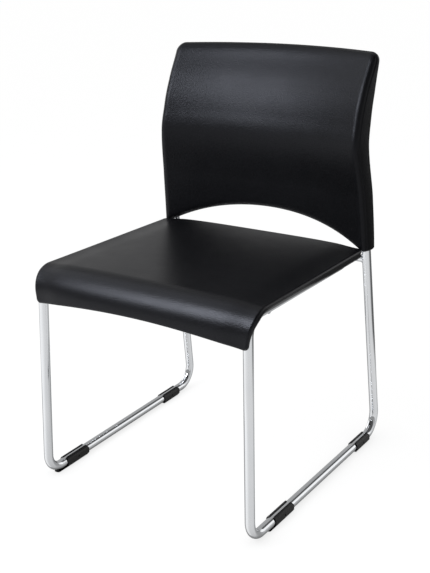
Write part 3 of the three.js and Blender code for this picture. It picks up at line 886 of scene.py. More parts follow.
@dataclass
class TubeFrame:
    """The chromed frame: two bent side tubes, two cross tubes and their welds."""

    tube_radius: float = 9.5
    cross_radius: float = 8.0
    foot_depth: float = 550.0
    front_foot_span: float = 484.0
    rear_foot_span: float = 501.0
    rail_span: float = 461.0
    rail_rear_span: float = 434.0
    rail_height: float = 443.0
    rail_setback: float = 3.0
    rail_knee_y: float = 370.0
    rail_drop_degrees: float = 45.0
    rail_end_inset: float = 2.7
    runner_height: float = 12.0
    cross_drop: float = 13.7
    front_cross_y: float = 78.0
    front_cross_drop: float = 5.0
    mouth: Triple = (477.0, 464.0, 512.02)
    lumbar: Triple = (453.0, 436.0, 667.16)
    upright_top: Triple = (446.0, 464.0, 764.93)
    bend_radii: tuple[float, ...] = (32.0, 200.0, 35.0, 38.0, 42.0, 200.0, 150.0)
    rear_bead_radius: float = 1.5
    front_bead_radius: float = 0.8
    bead_ripples: int = 26
    ripple_share: float = 0.14
    bead_turns: int = 120
    bead_sides: int = 10
    tube_sides: int = 40

    @property
    def rear_cross_height(self) -> float:
        """The rear cross tube's height."""
        return self.rail_height - self.cross_drop

    @property
    def rear_cross(self) -> Vector:
        """Where the rear cross tube meets the right leg.

        Returns:
            The point on the leg's centre line.
        """
        foot = Vector((self.rear_foot_span / 2, self.foot_depth, self.runner_height))
        mouth = Vector((self.mouth[0] / 2, self.mouth[1], self.mouth[2]))
        share = (self.rear_cross_height - foot.z) / (mouth.z - foot.z)
        return foot.lerp(mouth, share)

    @property
    def front_cross(self) -> Vector:
        """The front cross tube's right end."""
        height = self.rail_height - self.front_cross_drop
        return Vector((self.rail_span / 2, self.front_cross_y, height))

    def corners(self, side: Side) -> dict[str, Vector]:
        """The corners of a side tube, from the rail's rear end to the top of the upright.

        Args:
            side: the tube's side.

        Returns:
            Each corner by its name, in order.
        """

        def at(span: float, y: float, z: float) -> Vector:
            """A point on this side, half a span from the middle."""
            return Vector((side.value * span / 2, y, z))

        slope = math.radians(self.rail_drop_degrees)
        cross = self.rear_cross
        drop_y = cross.y - self.cross_drop / math.tan(slope)
        drop = at(self.rail_rear_span, drop_y, self.rail_height)
        end_share = 1 - self.rail_end_inset * math.sin(slope) / self.cross_drop
        return {
            "rail_end": drop.lerp(at(self.rail_rear_span, cross.y, cross.z), end_share),
            "drop": drop,
            "knee": at(self.rail_span, self.rail_knee_y, self.rail_height),
            "front": at(self.rail_span, self.rail_setback, self.rail_height),
            "front_foot": at(self.front_foot_span, 0.0, self.runner_height),
            "rear_foot": at(self.rear_foot_span, self.foot_depth, self.runner_height),
            "mouth": at(*self.mouth),
            "lumbar": at(*self.lumbar),
            "top": at(*self.upright_top),
        }

    def path(self, side: Side) -> BentPath:
        """A side tube's centre line."""
        return BentPath.through(list(self.corners(side).values()), self.bend_radii)

    def weld_bead(
        self, centre: Vector, tube_point: Vector, tube_way: Vector, radius: float
    ) -> Shape:
        """A rippled bead where a cross tube meets another tube.

        Args:
            centre: the end of the cross tube, which runs along x.
            tube_point: a point on the other tube's centre line.
            tube_way: the other tube's direction.
            radius: the bead's radius.

        Returns:
            The closed bead.
        """
        way = tube_way.normalized()
        turns, sides = self.bead_turns, self.bead_sides
        line, outs = [], []
        for index in range(turns):
            angle = 2 * math.pi * index / turns
            out = Vector((0.0, math.cos(angle), math.sin(angle)))
            base = Vector((0.0, centre.y, centre.z)) + out * self.cross_radius - tube_point
            along = base.dot(way)
            square = 1 - way.x**2
            middle = base.x - along * way.x
            rest = base.length_squared - along**2 - self.tube_radius**2
            root = math.sqrt(max(middle**2 - square * rest, 0.0))
            reach = (-middle - math.copysign(root, centre.x)) / square
            line.append(base + tube_point + ACROSS * reach)
            outs.append(out)
        points = []
        for index, (point, out) in enumerate(zip(line, outs)):
            ahead = (line[(index + 1) % turns] - line[index - 1]).normalized()
            normal = (out - ahead * out.dot(ahead)).normalized()
            wave = math.sin(self.bead_ripples * 2 * math.pi * index / turns)
            ripple = 1 + self.ripple_share * wave
            around = spokes(normal, ahead.cross(normal), sides)
            points += [point + spoke * radius * ripple for spoke in around]
        return Shape(np.array(points), bands(turns, sides, closed=True))

    def build(self, shop: Workshop) -> None:
        """Build the frame's pieces.

        Args:
            shop: what makes the pieces.
        """
        for side in Side:
            tube = sweep(self.path(side), self.tube_radius, self.tube_sides)
            node = f"side_frame_{side.word}"
            shop.piece(f"side_tube_{side.word}", tube, Slot.CHROME, [node])
        rear, front = self.rear_cross, self.front_cross
        for name, end in (("rear", rear), ("front", front)):
            start = Vector((-end.x, end.y, end.z))
            tube = bar(start, end, self.cross_radius, self.tube_sides)
            shop.piece(f"cross_tube_{name}", tube, Slot.CHROME, [f"{name}_cross_tube"])
        for side in Side:
            corners = self.corners(side)
            leg = corners["mouth"] - corners["rear_foot"]
            rail = corners["knee"] - corners["front"]
            for name, end, point, way, radius in (
                ("rear", rear, corners["rear_foot"], leg, self.rear_bead_radius),
                ("front", front, corners["front"], rail, self.front_bead_radius),
            ):
                centre = Vector((side.value * end.x, end.y, end.z))
                bead = self.weld_bead(centre, point, way, radius)
                shop.piece(f"weld_{name}_{side.word}", bead, Slot.CHROME, material=shop.weld)


# --- Glides ---


@dataclass
class Glides:
    """Four clip-on glides: C-shaped clips with a flat sole, flat cheeks and a mouth on top."""

    tubes: TubeFrame
    sole_width: float = 14.0
    sole_thickness: float = 2.5
    wall: float = 2.0
    fit: float = 0.3
    flat: float = 22.6
    flat_drop: float = 6.0
    mouth_degrees: float = 42.0
    end_bevel: float = 5.0
    nose_share: float = 1.4
    dimple_radius: float = 2.0
    dimple_depth: float = 1.0
    dimple_reach: float = 3.0
    dimple_sides: int = 24
    tip_angles: tuple[float, ...] = (0.0, 0.4, 0.8, 1.2, math.pi / 2)
    bore_steps: int = 40
    lip_steps: int = 8
    tongues: dict[str, float] = field(
        default_factory=lambda: {"front_right": 17.0, "front_left": 28.0}
    )
    edge: float = 0.7
    sharp: float = 35.0
    helper_sharp: float = 40.0
    places: dict[str, Pair] = field(
        default_factory=lambda: {
            "front_right": (70.0, 113.0),
            "front_left": (70.0, 85.0),
            "rear_right": (63.0, 467.0),
            "rear_left": (63.0, 447.0),
        }
    )

    def section(self) -> Points:
        """The clip's outline across the runner.

        Returns:
            Each point (across, up from the tube's centre).
        """
        outer = self.tubes.tube_radius + self.fit + self.wall
        inner = self.tubes.tube_radius + self.fit
        half = self.flat / 2
        start = math.asin(math.sqrt(outer**2 - half**2) / outer)
        lip = math.radians(90.0 - self.mouth_degrees / 2)
        right = [(self.sole_width / 2, -self.tubes.runner_height), (half, -self.flat_drop)]
        for step in range(self.lip_steps + 1):
            angle = blend(start, lip, step / self.lip_steps)
            right.append((outer * math.cos(angle), outer * math.sin(angle)))
        bore = []
        for step in range(self.bore_steps + 1):
            angle = lip - (math.pi + 2 * lip) * step / self.bore_steps
            bore.append((inner * math.cos(angle), inner * math.sin(angle)))
        return right + bore + [(-across, up) for across, up in reversed(right)]

    def clip(self, length: float) -> Shape:
        """The clip itself, cut to its slanted ends.

        Args:
            length: its length along the runner.

        Returns:
            The closed clip, with its middle at the origin.
        """
        half = length / 2
        top = self.tubes.tube_radius + self.wall + 2 * self.fit
        low = -self.tubes.runner_height
        small = self.end_bevel / 2
        solid = bmesh.new()
        ring = [solid.verts.new((across, -half, up)) for across, up in self.section()]
        face = solid.faces.new(ring)
        grown = bmesh.ops.extrude_face_region(solid, geom=[face])
        moved = [item for item in grown["geom"] if isinstance(item, bmesh.types.BMVert)]
        bmesh.ops.translate(solid, verts=moved, vec=(0.0, length, 0.0))
        cuts = [
            ((half, top - self.end_bevel * self.nose_share), (half - self.end_bevel, top)),
            ((-half + small, top), (-half, top - small)),
            ((half - small, low), (half, low + small)),
            ((-half, low + small), (-half + small, low)),
        ]
        for (y0, z0), (y1, z1) in cuts:
            normal = Vector((0.0, z1 - z0, y0 - y1)).normalized()
            if normal.dot(Vector((0.0, y0, z0))) < 0:
                normal.negate()
            cut = bmesh.ops.bisect_plane(
                solid,
                geom=[*solid.verts, *solid.edges, *solid.faces],
                plane_co=(0.0, y0, z0),
                plane_no=normal,
                clear_outer=True,
            )
            edges = [item for item in cut["geom_cut"] if isinstance(item, bmesh.types.BMEdge)]
            bmesh.ops.holes_fill(solid, edges=edges)
        solid.verts.index_update()
        points = np.array([vert.co[:] for vert in solid.verts])
        faces = [tuple(vert.index for vert in face.verts) for face in solid.faces]
        solid.free()
        return Shape(points, faces)

    def tongue_plate(self, length: float, reach: float) -> Shape:
        """The thin sole plate that reaches on in front of a front glide.

        Args:
            length: the clip's length along the runner.
            reach: how far the plate goes beyond it.

        Returns:
            The closed plate, placed as the clip is.
        """
        wide, half = self.sole_width / 2, length / 2
        low = -self.tubes.runner_height
        high = low + self.sole_thickness - self.fit
        tip, bevel = -half - reach, self.end_bevel
        root = -half + bevel
        turn = [
            (bevel * (1 - math.cos(angle)), bevel * (1 - math.sin(angle)))
            for angle in self.tip_angles
        ]
        left = [(-wide, root)] + [(-wide + x, tip + y) for x, y in turn]
        outline = left + [(-x, y) for x, y in reversed(left)]
        rings = [np.array([(x, y, z) for x, y in outline]) for z in (low, high)]
        return lofted(rings)

    def laid(self, shape: Shape, side: int, y: float) -> Shape:
        """A shape turned and moved to its place on a runner.

        Args:
            shape: the shape, with its middle at the origin.
            side: 1 for the right runner and -1 for the left one.
            y: its place along the runner.

        Returns:
            The shape in its place.
        """
        tubes = self.tubes
        toe = math.atan((tubes.rear_foot_span - tubes.front_foot_span) / 2 / tubes.foot_depth)
        x = tubes.front_foot_span / 2 + math.tan(toe) * y
        middle = Matrix.Translation((side * x, y, tubes.runner_height))
        place = middle @ Matrix.Rotation(-side * toe, 4, "Z")
        return Shape(np.array([place @ Vector(point) for point in shape.points]), shape.faces)

    def build(self, shop: Workshop) -> None:
        """Build the four glides.

        Args:
            shop: what makes the pieces.
        """
        for place, (length, y) in self.places.items():
            side = 1 if place.endswith("right") else -1
            clip = self.laid(self.clip(length), side, y)
            nodes = [f"glide_{place}"]
            glide = shop.piece(f"glide_clip_{place}", clip, Slot.GLIDE, nodes, self.sharp)
            tools = []
            if place in self.tongues:
                plate = self.laid(self.tongue_plate(length, self.tongues[place]), side, y)
                tools.append((self.helper(shop, "tongue", plate), "UNION"))
            for cheek in (1, -1):
                start = Vector((cheek * (self.flat / 2 - self.dimple_depth), 0.0, 0.0))
                end = start + ACROSS * cheek * self.dimple_reach
                dimple = bar(start, end, self.dimple_radius, self.dimple_sides)
                hole = self.helper(shop, "dimple", self.laid(dimple, side, y))
                tools.append((hole, "DIFFERENCE"))
            combined(glide, tools)
            soften(glide, self.edge, segments=3, degrees=30.0).harden_normals = True

    def helper(self, shop: Workshop, name: str, shape: Shape) -> bpy.types.Object:
        """A helper solid for cutting and joining."""
        return placed(name, shop.mesh(name, shape, self.helper_sharp))


# --- Seat ---


@dataclass
class Seat:
    """The waterfall seat: a moulded shell over the rails, and the pad of foam and vinyl over it.

    run is the distance along the profile from the rear edge, and rise the height off the rails.
    """

    tubes: TubeFrame
    width: float = 494.0
    rear_gap: float = 32.2
    edge_rise: float = 6.0
    rear_rise: float = 1.5
    crown: float = 6.0
    crown_margin: float = 60.0
    edge_round: float = 5.0
    skirt_drop: float = 6.9
    front_skirt_drop: float = 1.2
    skirt_fade: Pair = (0.34, 0.71)
    rear_fade: float = 1.3
    lip_taper: float = 9.0
    taper_start: float = 0.3
    lip_drop: float = 20.5
    corner_skirt: float = 5.0
    corner_spread: Pair = (0.45, 0.75)
    lip_arch: float = 16.0
    rear_corner: float = 14.0
    lip_corner: float = 10.0
    rail_front_radius: float = 35.0
    shell_inset: float = 1.0
    shell_lip_inset: float = 2.0
    pan_width: float = 388.0
    pan_drop: float = 3.0
    pan_wall: float = 3.0
    shell_slope: float = 8.0
    flange_rise: float = 3.5
    flange_wall: float = 3.1
    ledge: float = 1.4
    skirt_wall: float = 2.9
    hem_drop: float = 1.7
    soft_fit: float = 0.3
    rear_edge_round: float = 4.2
    fillet: float = 0.4
    slope_ease: float = 0.6
    shell_flat_start: float = 50.0
    column_radii: tuple[float, ...] = (5.0, 10.0, 28.0)
    column_insets: tuple[float, ...] = (1.6, 2.4, 3.2, 6.0, 7.0, 8.0, 9.0, 12.0, 14.0)
    row_radii: tuple[float, ...] = (5.0, 12.0)
    row_margin: float = 0.03
    row_counts: tuple[int, int, int] = (40, 26, 6)
    shell_counts: tuple[int, int] = (30, 24)
    shell_corner: Pair = (1.15, 1.3)
    slope_shares: Pair = (0.3, 0.7)
    wall_bulge: tuple[Pair, ...] = (
        (-0.25, 0.12), (-0.45, 0.35), (-0.45, 0.6), (-0.2, 0.85), (0.1, 0.97), (0.6, 1.0))
    shell_sharp: float = 50.0
    pad_sharp: float = 60.0
    fill: float = 0.85

    def __post_init__(self) -> None:
        """Work out the profile."""
        tubes = self.tubes
        self.datum = tubes.rail_height + tubes.tube_radius
        self.roll = self.rail_front_radius + tubes.tube_radius
        self.roll_y = tubes.rail_setback + self.rail_front_radius
        self.roll_height = tubes.rail_height - self.rail_front_radius
        self.rear_y = tubes.rear_cross.y - self.rear_gap
        self.flat = self.rear_y - self.roll_y
        self.roll_length = self.roll * math.pi / 2
        self.length = self.flat + self.roll_length + self.lip_drop

    def on_profile(self, x: Array, run: Array, rise: Array) -> Array:
        """Points of the seat from places along and across its profile.

        Args:
            x: place across.
            run: distance along the profile from the rear edge.
            rise: height off the profile.

        Returns:
            The points.
        """
        x, run, rise = np.broadcast_arrays(x, run, rise)
        angle = np.clip((run - self.flat) / self.roll, 0.0, math.pi / 2)
        past = np.maximum(run - self.flat - self.roll_length, 0.0)
        out = self.roll + rise
        level = run < self.flat
        y = np.where(level, self.rear_y - run, self.roll_y - out * np.sin(angle))
        z = np.where(level, self.datum + rise, self.roll_height + out * np.cos(angle) - past)
        return np.stack([x, y, z], axis=-1)

    def laid(self, x: Array, run: Any, rise: Any, inset: float = 0.0) -> Array:
        """Points of a layer drawn in by an inset, which narrows with the seat down the lip."""
        across = x * (self.half_at(run) - inset) / (self.width / 2 - inset)
        return self.on_profile(across, run, rise)

    def rear_share(self, run: Array) -> Array:
        """1 at the rear edge, where the side skirts have faded out."""
        return 1.0 - smooth(run, self.rear_corner, self.rear_corner * self.rear_fade)

    def half_at(self, run: Array) -> Array:
        """The seat's half width, which narrows a little down the lip."""
        lip = smooth(run, self.flat + self.taper_start * self.roll_length, self.length)
        return self.width / 2 - self.lip_taper * lip

    def skirt_at(self, run: Array) -> Array:
        """How far the side skirts hang below the rails' tops.

        Args:
            run: distance along the profile.

        Returns:
            The drop.
        """
        low, high = (share * self.flat for share in self.skirt_fade)
        middle, reach = (share * self.roll_length for share in self.corner_spread)
        corner = bump(run, self.flat + middle, reach)
        side = blend(self.skirt_drop, self.front_skirt_drop, smooth(run, low, high))
        return side + self.corner_skirt * corner

    def lip_line(self, x: Array) -> Array:
        """Where the lip's arched lower edge lies along the profile, its corners left square."""
        return self.length - self.lip_arch * (1.0 - (x / (self.width / 2)) ** 2)

    def columns(self) -> Array:
        """Places across the pad as shares of its half width."""
        half, radii = self.width / 2, self.column_radii
        return places_across(half, radii, self.column_insets, self.rear_corner)

    def rows(self) -> Array:
        """Places along the pad as shares of its length, close together at its edges.

        Returns:
            The shares, from the rear edge to the lip.
        """
        near = {round(value, 3) for radius in self.row_radii for value in edge_steps(radius)}
        ends = {value / self.length for value in near}
        ends |= {1.0 - value for value in ends}
        flat, roll = self.flat / self.length, (self.flat + self.roll_length) / self.length
        stops = (self.row_margin, flat, roll, 1 - self.row_margin)
        for start, end, count in zip(stops, stops[1:], self.row_counts):
            ends |= set(np.linspace(start, end, count))
        places = sorted(ends)
        kept = [place for place, ahead in zip(places, places[1:]) if ahead - place > 1e-5]
        return np.array(kept + [1.0])

    def outline(self, inset: float) -> tuple[Array, Array, Array]:
        """The grid of a layer drawn in from the pad's outline.

        Args:
            inset: how far the layer is drawn in.

        Returns:
            Place across, distance along and distance in from the layer's own edge.
        """
        half = self.width / 2 - inset
        share, along = np.meshgrid(self.columns(), self.rows())
        x = share * half
        beside = half - np.abs(x)
        rear, lip = self.rear_corner - inset, max(self.lip_corner - inset, 1.0)
        last = self.lip_line(x) - inset
        start = inset + round_off(beside, rear)
        end = last - round_off(beside, lip)
        run = blend(start, end, along)
        inside = np.minimum(
            corner_inside(beside, run - inset, rear), corner_inside(beside, last - run, lip)
        )
        return x, run, np.maximum(inside, 0.0)

    def rear_lift(self, run: Array) -> Array:
        """How far the top rises towards the rear edge."""
        return self.rear_rise * (1.0 - smooth(run, 0.0, self.flat))

    def edge_at(self, run: Array) -> Array:
        """The top edge's radius, which is smaller at the rear."""
        return blend(self.edge_round, self.rear_edge_round, self.rear_share(run))

    def top_surface(self) -> Array:
        """The pad's crowned top.

        Returns:
            Its grid of points.
        """
        x, run, inside = self.outline(0.0)
        half = self.width / 2
        beside = half - np.abs(x)
        crown = self.crown * (1.0 - (x / half) ** 4) * smooth(beside, 0.0, self.crown_margin)
        rise = self.edge_rise + self.rear_lift(run) + crown - round_off(inside, self.edge_at(run))
        return self.laid(x, run, rise)

    def rim(self, inset: float, share: float) -> Array:
        """A ring round the pad's wall.

        Args:
            inset: how far it is drawn in; less than nothing bulges out.
            share: 0 at the top edge and 1 at the wall's foot.

        Returns:
            The ring's grid, of which only the rim is used.
        """
        x, run, _ = self.outline(inset)
        top = self.edge_rise + self.rear_lift(run) - self.edge_at(run)
        rear_foot = self.flange_rise - self.ledge + 2 * self.soft_fit
        foot = blend(-self.skirt_at(run), rear_foot, self.rear_share(run))
        return self.laid(x, run, blend(top, foot, share), inset)

    def pad(self) -> Shape:
        """The upholstered pad.

        Returns:
            The closed pad.
        """
        inner = self.shell_inset + self.ledge - self.soft_fit
        x, run, _ = self.outline(inner)
        pan = (self.pan_width + self.pan_wall) / 2
        slope = smooth(np.abs(x), pan, pan + self.shell_slope)
        rise = blend(-self.pan_drop, self.flange_rise, slope) + self.soft_fit
        under = self.laid(x, run, rise, inner)
        rims = [self.rim(inset, share) for inset, share in self.wall_bulge + ((inner, 1.0),)]
        return closed_sheet(self.top_surface(), under, rims)

    def shell_outline(self, run: float) -> Array:
        """The shell's outline at a place along the profile.

        Args:
            run: distance along the profile.

        Returns:
            Each point (across, rise).
        """
        half = float(self.half_at(run) - round_off(run, self.rear_corner)) - self.shell_inset
        fade = float(self.rear_share(run))
        skirt = float(self.skirt_at(run))
        ledge = blend(-skirt - 2 * self.soft_fit, self.flange_rise - self.ledge, fade)
        hem = blend(-skirt - self.hem_drop, self.soft_fit, fade)
        under = self.flange_rise - self.flange_wall
        pan = self.pan_width / 2
        lip = min(self.fillet, (ledge - hem) / 3)
        near, far = (pan + self.shell_slope * share for share in self.slope_shares)
        right = [
            (pan, -self.pan_drop),
            (near, self.slope_ease - self.pan_drop),
            (far, self.flange_rise - self.slope_ease),
            (pan + self.shell_slope, self.flange_rise),
            (half - self.ledge - self.fillet, self.flange_rise),
            (half - self.ledge, self.flange_rise - self.fillet),
            (half - self.ledge, ledge),
            (half - lip, ledge),
            (half, ledge - lip),
            (half, hem + lip),
            (half - lip, hem),
            (half - self.skirt_wall + lip, hem),
            (half - self.skirt_wall, hem + lip),
            (half - self.skirt_wall, under + self.soft_fit / 2),
            (pan + self.shell_slope + self.pan_wall, under),
            (pan + self.pan_wall, -self.pan_drop - self.pan_wall),
        ]
        left = [(-x, rise) for x, rise in right]
        return np.array(left + right[::-1])

    def shell(self) -> Shape:
        """The moulded shell.

        Returns:
            The closed shell.
        """
        shares = [1 - math.sin(math.radians(angle)) for angle in range(87, 0, -6)]
        runs = [self.rear_corner * share for share in (*shares, *self.shell_corner)]
        on_flat, on_roll = self.shell_counts
        runs += list(np.linspace(self.shell_flat_start, self.flat, on_flat))
        end = self.length - self.lip_arch - self.shell_lip_inset
        runs += list(np.linspace(self.flat, end, on_roll))[1:]
        outlines = []
        for run in sorted(runs):
            outline = self.shell_outline(run)
            outlines.append(self.on_profile(outline[:, 0], run, outline[:, 1]))
        return lofted(outlines)

    def build(self, shop: Workshop) -> None:
        """Build the seat's pieces.

        Args:
            shop: what makes the pieces.
        """
        shell, vinyl = Slot.SHELL, Slot.SEAT_VINYL
        shop.piece("seat_shell_moulding", self.shell(), shell, ["seat_shell"], self.shell_sharp)
        pad = shop.piece("seat_cushion", self.pad(), vinyl, ["seat_pad"], self.pad_sharp)


# --- Back ---


@dataclass
class Back:
    """The arched back: a front and a rear pad that meet in a seam round the side.

    depth is measured rearwards from the face, which is hollow across its width.
    """

    tubes: TubeFrame
    top: float = 853.0
    top_fall: float = 4.5
    foot: float = 449.0
    arch: float = 508.5
    arch_fall: float = 63.0
    arch_steep: float = 0.23
    arch_ease: float = 4.0
    hollow: float = 42.0
    rear_hollow: float = 36.0
    flare_degrees: float = 10.0
    top_corner: float = 16.0
    foot_corner: float = 8.0
    column_radii: tuple[float, ...] = (8.0, 16.0)
    column_insets: tuple[float, ...] = (10.0, 12.5, 19.0, 22.0, 26.0, 30.0)
    column_start: float = 35.0
    body_rows: int = 56
    rim_round: float = 8.0
    face_round: float = 12.0
    top_round: float = 12.0
    seam_depth: float = 13.5
    face_foam: float = 7.0
    foam_step: float = 1.0
    rear_inset: float = 2.0
    front_bulge: tuple[Pair, ...] = ((-0.35, 0.35), (-0.3, 0.55))
    front_seam: tuple[Pair, ...] = ((0.1, 0.4), (0.8, 0.1))
    rear_bulge: tuple[Pair, ...] = ((-0.6, 0.85), (-1.1, 0.6), (-1.0, 0.3), (-0.4, 0.1))
    rear_seam: tuple[Pair, ...] = ((0.1, 0.5), (0.8, 0.0))
    shell_inset: float = 5.0
    soft_fit: float = 0.3
    foot_y: float = 441.0
    lean: float = 38.0
    width: float = 496.0
    thickness: float = 53.0
    widths: tuple[Pair, ...] = (
        (0.0, 1.0), (0.3, 0.9778), (0.54, 0.9456), (0.78, 0.9395), (1.0, 0.9476))
    leans: tuple[Pair, ...] = (
        (0.0, 0.0), (0.3, -0.408), (0.53, -0.842), (0.65, -0.645), (0.8, -0.079), (1.0, 1.0))
    depths: tuple[Pair, ...] = (
        (0.0, 0.868), (0.3, 0.943), (0.55, 1.0), (0.8, 0.849), (1.0, 0.491))
    pad_sharp: float = 60.0
    fill: float = 0.9

    def __post_init__(self) -> None:
        """Work out the reference width."""
        self.span = self.top - self.foot
        self.reference = float(self.half(np.array(self.tubes.lumbar[2])))
        self.flare = math.tan(math.radians(self.flare_degrees))

    def share(self, z: Array) -> Array:
        """A height as a share of the back's own height."""
        return (z - self.foot) / self.span

    def half(self, z: Array) -> Array:
        """Half the back's width at a height."""
        return self.width / 2 * through_pairs(self.widths, self.share(z))

    def full_depth(self, u: Array, z: Array) -> Array:
        """The back's thickness at a place."""
        loss = (self.hollow - self.rear_hollow) * (1.0 - u * u)
        return self.thickness * through_pairs(self.depths, self.share(z)) - loss

    def point(self, u: Array, z: Array, depth: Array) -> Array:
        """Points of the back from places across, up and into it.

        Args:
            u: place across, as a share of the half width.
            z: height.
            depth: distance rearwards from the face.

        Returns:
            The points.
        """
        half = self.half(z) + depth * self.flare
        y = self.foot_y + self.lean * through_pairs(self.leans, self.share(z))
        y = y + self.hollow * (1.0 - u * u) + depth
        return np.stack(np.broadcast_arrays(u * half, y, z), axis=-1)

    def top_line(self, x: Array, half: float) -> Array:
        """The top edge, its corners left square."""
        return self.top - self.top_fall * (x / half) ** 2

    def foot_line(self, x: Array, half: float) -> Array:
        """The arched lower edge, its corners left square.

        Args:
            x: place across.
            half: half the layer's width.

        Returns:
            The edge's height.
        """
        u = x / half
        arch = self.arch - self.arch_fall * blend(u**2, u**4, self.arch_steep)
        above = arch - self.foot
        return self.foot + (above + np.hypot(above, self.arch_ease)) / 2

    def columns(self) -> Array:
        """Places across as shares of the half width."""
        half, radii = self.reference, self.column_radii
        return places_across(half, radii, self.column_insets, self.column_start)

    def grid(self, inset: float) -> tuple[Array, Array, Array]:
        """The grid of a layer drawn in from the back's outline.

        Args:
            inset: how far the layer is drawn in.

        Returns:
            Share across, height and distance in from the layer's own edge.
        """
        edge = self.reference - inset
        x = self.columns() * edge
        beside = edge - np.abs(x)
        foot_corner = max(self.foot_corner - inset, 1.0)
        top_corner = self.top_corner - inset
        low = self.foot_line(x, edge) + inset
        high = self.top_line(x, edge) - inset
        bottom = low + round_off(beside, foot_corner)
        ceiling = high - round_off(beside, top_corner)
        steps = np.array(edge_steps(self.rim_round)[:-1])[:, None]
        body = np.linspace(0.0, 1.0, self.body_rows)[:-1, None]
        tops = np.array(edge_steps(self.top_round)[::-1])[:, None]
        sides = blend(bottom + self.rim_round, ceiling - self.top_round, body)
        z = np.vstack([bottom + steps, sides, ceiling - tops])
        to_foot = corner_inside(beside, z - low, foot_corner)
        to_top = corner_inside(beside, high - z, top_corner)
        side_pull = np.maximum(top_corner - beside, 0.0)
        top_pull = np.maximum(top_corner - (high - z), 0.0)
        weight = top_pull / (side_pull + top_pull + 1e-9)
        to_top = to_top * blend(1.0, self.rim_round / self.top_round, weight)
        return x / self.reference, z, np.maximum(np.minimum(to_foot, to_top), 0.0)

    def face(self) -> Array:
        """The sitter's face of the front pad."""
        u, z, inside = self.grid(0.0)
        return self.point(u, z, round_off(inside, self.face_round))

    def rear_face(self) -> Array:
        """The outer face of the rear pad."""
        u, z, inside = self.grid(0.0)
        return self.point(u, z, self.full_depth(u, z) - round_off(inside, self.rim_round))

    def ring(self, inset: float, depth: Callable[[Array, Array], Any]) -> Array:
        """A grid drawn in by an inset at a depth, of which the rim or the whole is used."""
        u, z, _ = self.grid(inset)
        return self.point(u, z, depth(u, z) + np.zeros_like(u))

    def layer(self, inset: float, depth: float) -> Array:
        """A grid drawn in by an inset at one depth all over."""
        return self.ring(inset, lambda u, z: depth)

    def front_pad(self) -> Shape:
        """The front pad, hollow behind for the inner shell.

        Returns:
            The closed pad.
        """
        seam = self.seam_depth
        inner = self.shell_inset - self.soft_fit
        front = self.face_round
        wall = [(inset, blend(front, seam, share)) for inset, share in self.front_bulge]
        wall += [(inset, seam - before) for inset, before in self.front_seam]
        wall += [(inner, seam), (inner, self.face_foam + self.foam_step)]
        rims = [self.layer(inset, depth) for inset, depth in wall]
        return closed_sheet(self.face(), self.layer(inner, self.face_foam), rims)

    def rear_pad(self) -> Shape:
        """The rear pad.

        Returns:
            The closed pad.
        """
        near = self.seam_depth + self.soft_fit

        def wall(share: float) -> Callable[[Array, Array], Array]:
            """The depth a share of the way from the seam to the rear face's rounded edge."""
            return lambda u, z: blend(near, self.full_depth(u, z) - self.rim_round, share)

        rims = [self.ring(inset, wall(share)) for inset, share in self.rear_bulge]
        rims += [self.layer(inset, near + past) for inset, past in self.rear_seam]
        return closed_sheet(self.rear_face(), self.layer(self.rear_inset, near), rims)

    def build(self, shop: Workshop) -> None:
        """Build the back's pieces.

        Args:
            shop: what makes the pieces.
        """
        for name, shape, node in (
            ("back_front_cushion", self.front_pad(), "back_front_pad"),
            ("back_rear_cushion", self.rear_pad(), "back_rear_pad"),
        ):
            pad = shop.piece(name, shape, Slot.BACK_VINYL, [node], self.pad_sharp)
        shop.dress("back_shell", Slot.SHELL)


@dataclass
class Fittings:
    """The small parts that keep their own shape: tabs, screws and end plugs."""

    tabs: tuple[str, ...] = ("front_right", "front_left", "rear_right", "rear_left")
    screw_edge: float = 0.2

    def build(self, shop: Workshop) -> None:
        """Dress the fittings.

        Args:
            shop: what makes the pieces.
        """
        for place in self.tabs:
            shop.dress(f"seat_tab_{place}", Slot.CHROME)
            shop.dress(f"seat_screw_{place}", Slot.ZINC, self.screw_edge)
        for side in Side:
            shop.dress(f"upright_end_plug_{side.word}", Slot.PLUG)
            shop.dress(f"back_screw_{side.word}", Slot.ZINC, self.screw_edge)


# --- Studio ---


@dataclass(frozen=True)
class Lamp:
    """A rectangular softbox that faces a point."""

    name: str
    towards: Triple
    distance: float
    size: Pair
    level: float
    tint: Triple

    def hang(self, target: Vector) -> None:
        """Hang the lamp.

        Args:
            target: the point that it faces.
        """
        data = bpy.data.lights.new(self.name, "AREA")
        data.shape = "RECTANGLE"
        data.size, data.size_y = self.size
        data.energy = self.level * math.pi * self.size[0] * self.size[1]
        data.color = self.tint
        lamp = placed(self.name, data)
        way = Vector(self.towards).normalized()
        lamp.location = target + way * self.distance
        lamp.rotation_mode = "QUATERNION"
        lamp.rotation_quaternion = way.to_track_quat("Z", "Y")
        log.info("%s: level %.2f", self.name, self.level)


@dataclass(frozen=True)
class Ring:
    """Levels round the chair, by degrees from the camera's own side, to the right of it."""

    stops: tuple[Pair, ...]

    def level(self, board: NodeBoard, way: Any, camera_azimuth: float) -> Any:
        """Read the ring.

        Args:
            board: the nodes to add it to.
            way: a point or direction round the chair.
            camera_azimuth: the camera's azimuth in degrees.

        Returns:
            The level's output.
        """
        rotation = (0.0, 0.0, math.radians(90.0 - camera_azimuth))
        faced = board.add("Mapping", {"Vector": way, "Rotation": rotation}).outputs[0]
        around = board.add("TexGradient", {"Vector": faced}, gradient_type="RADIAL")
        ramp = board.add("ValToRGB", {"Fac": around.outputs["Fac"]})
        points = ramp.color_ramp.elements
        while len(points) < len(self.stops):
            points.new(0.5)
        for point, (degrees, level) in zip(points, self.stops):
            point.position = 0.5 + degrees / 360.0
            point.color = (level, level, level, 1.0)
        return ramp.outputs["Color"]


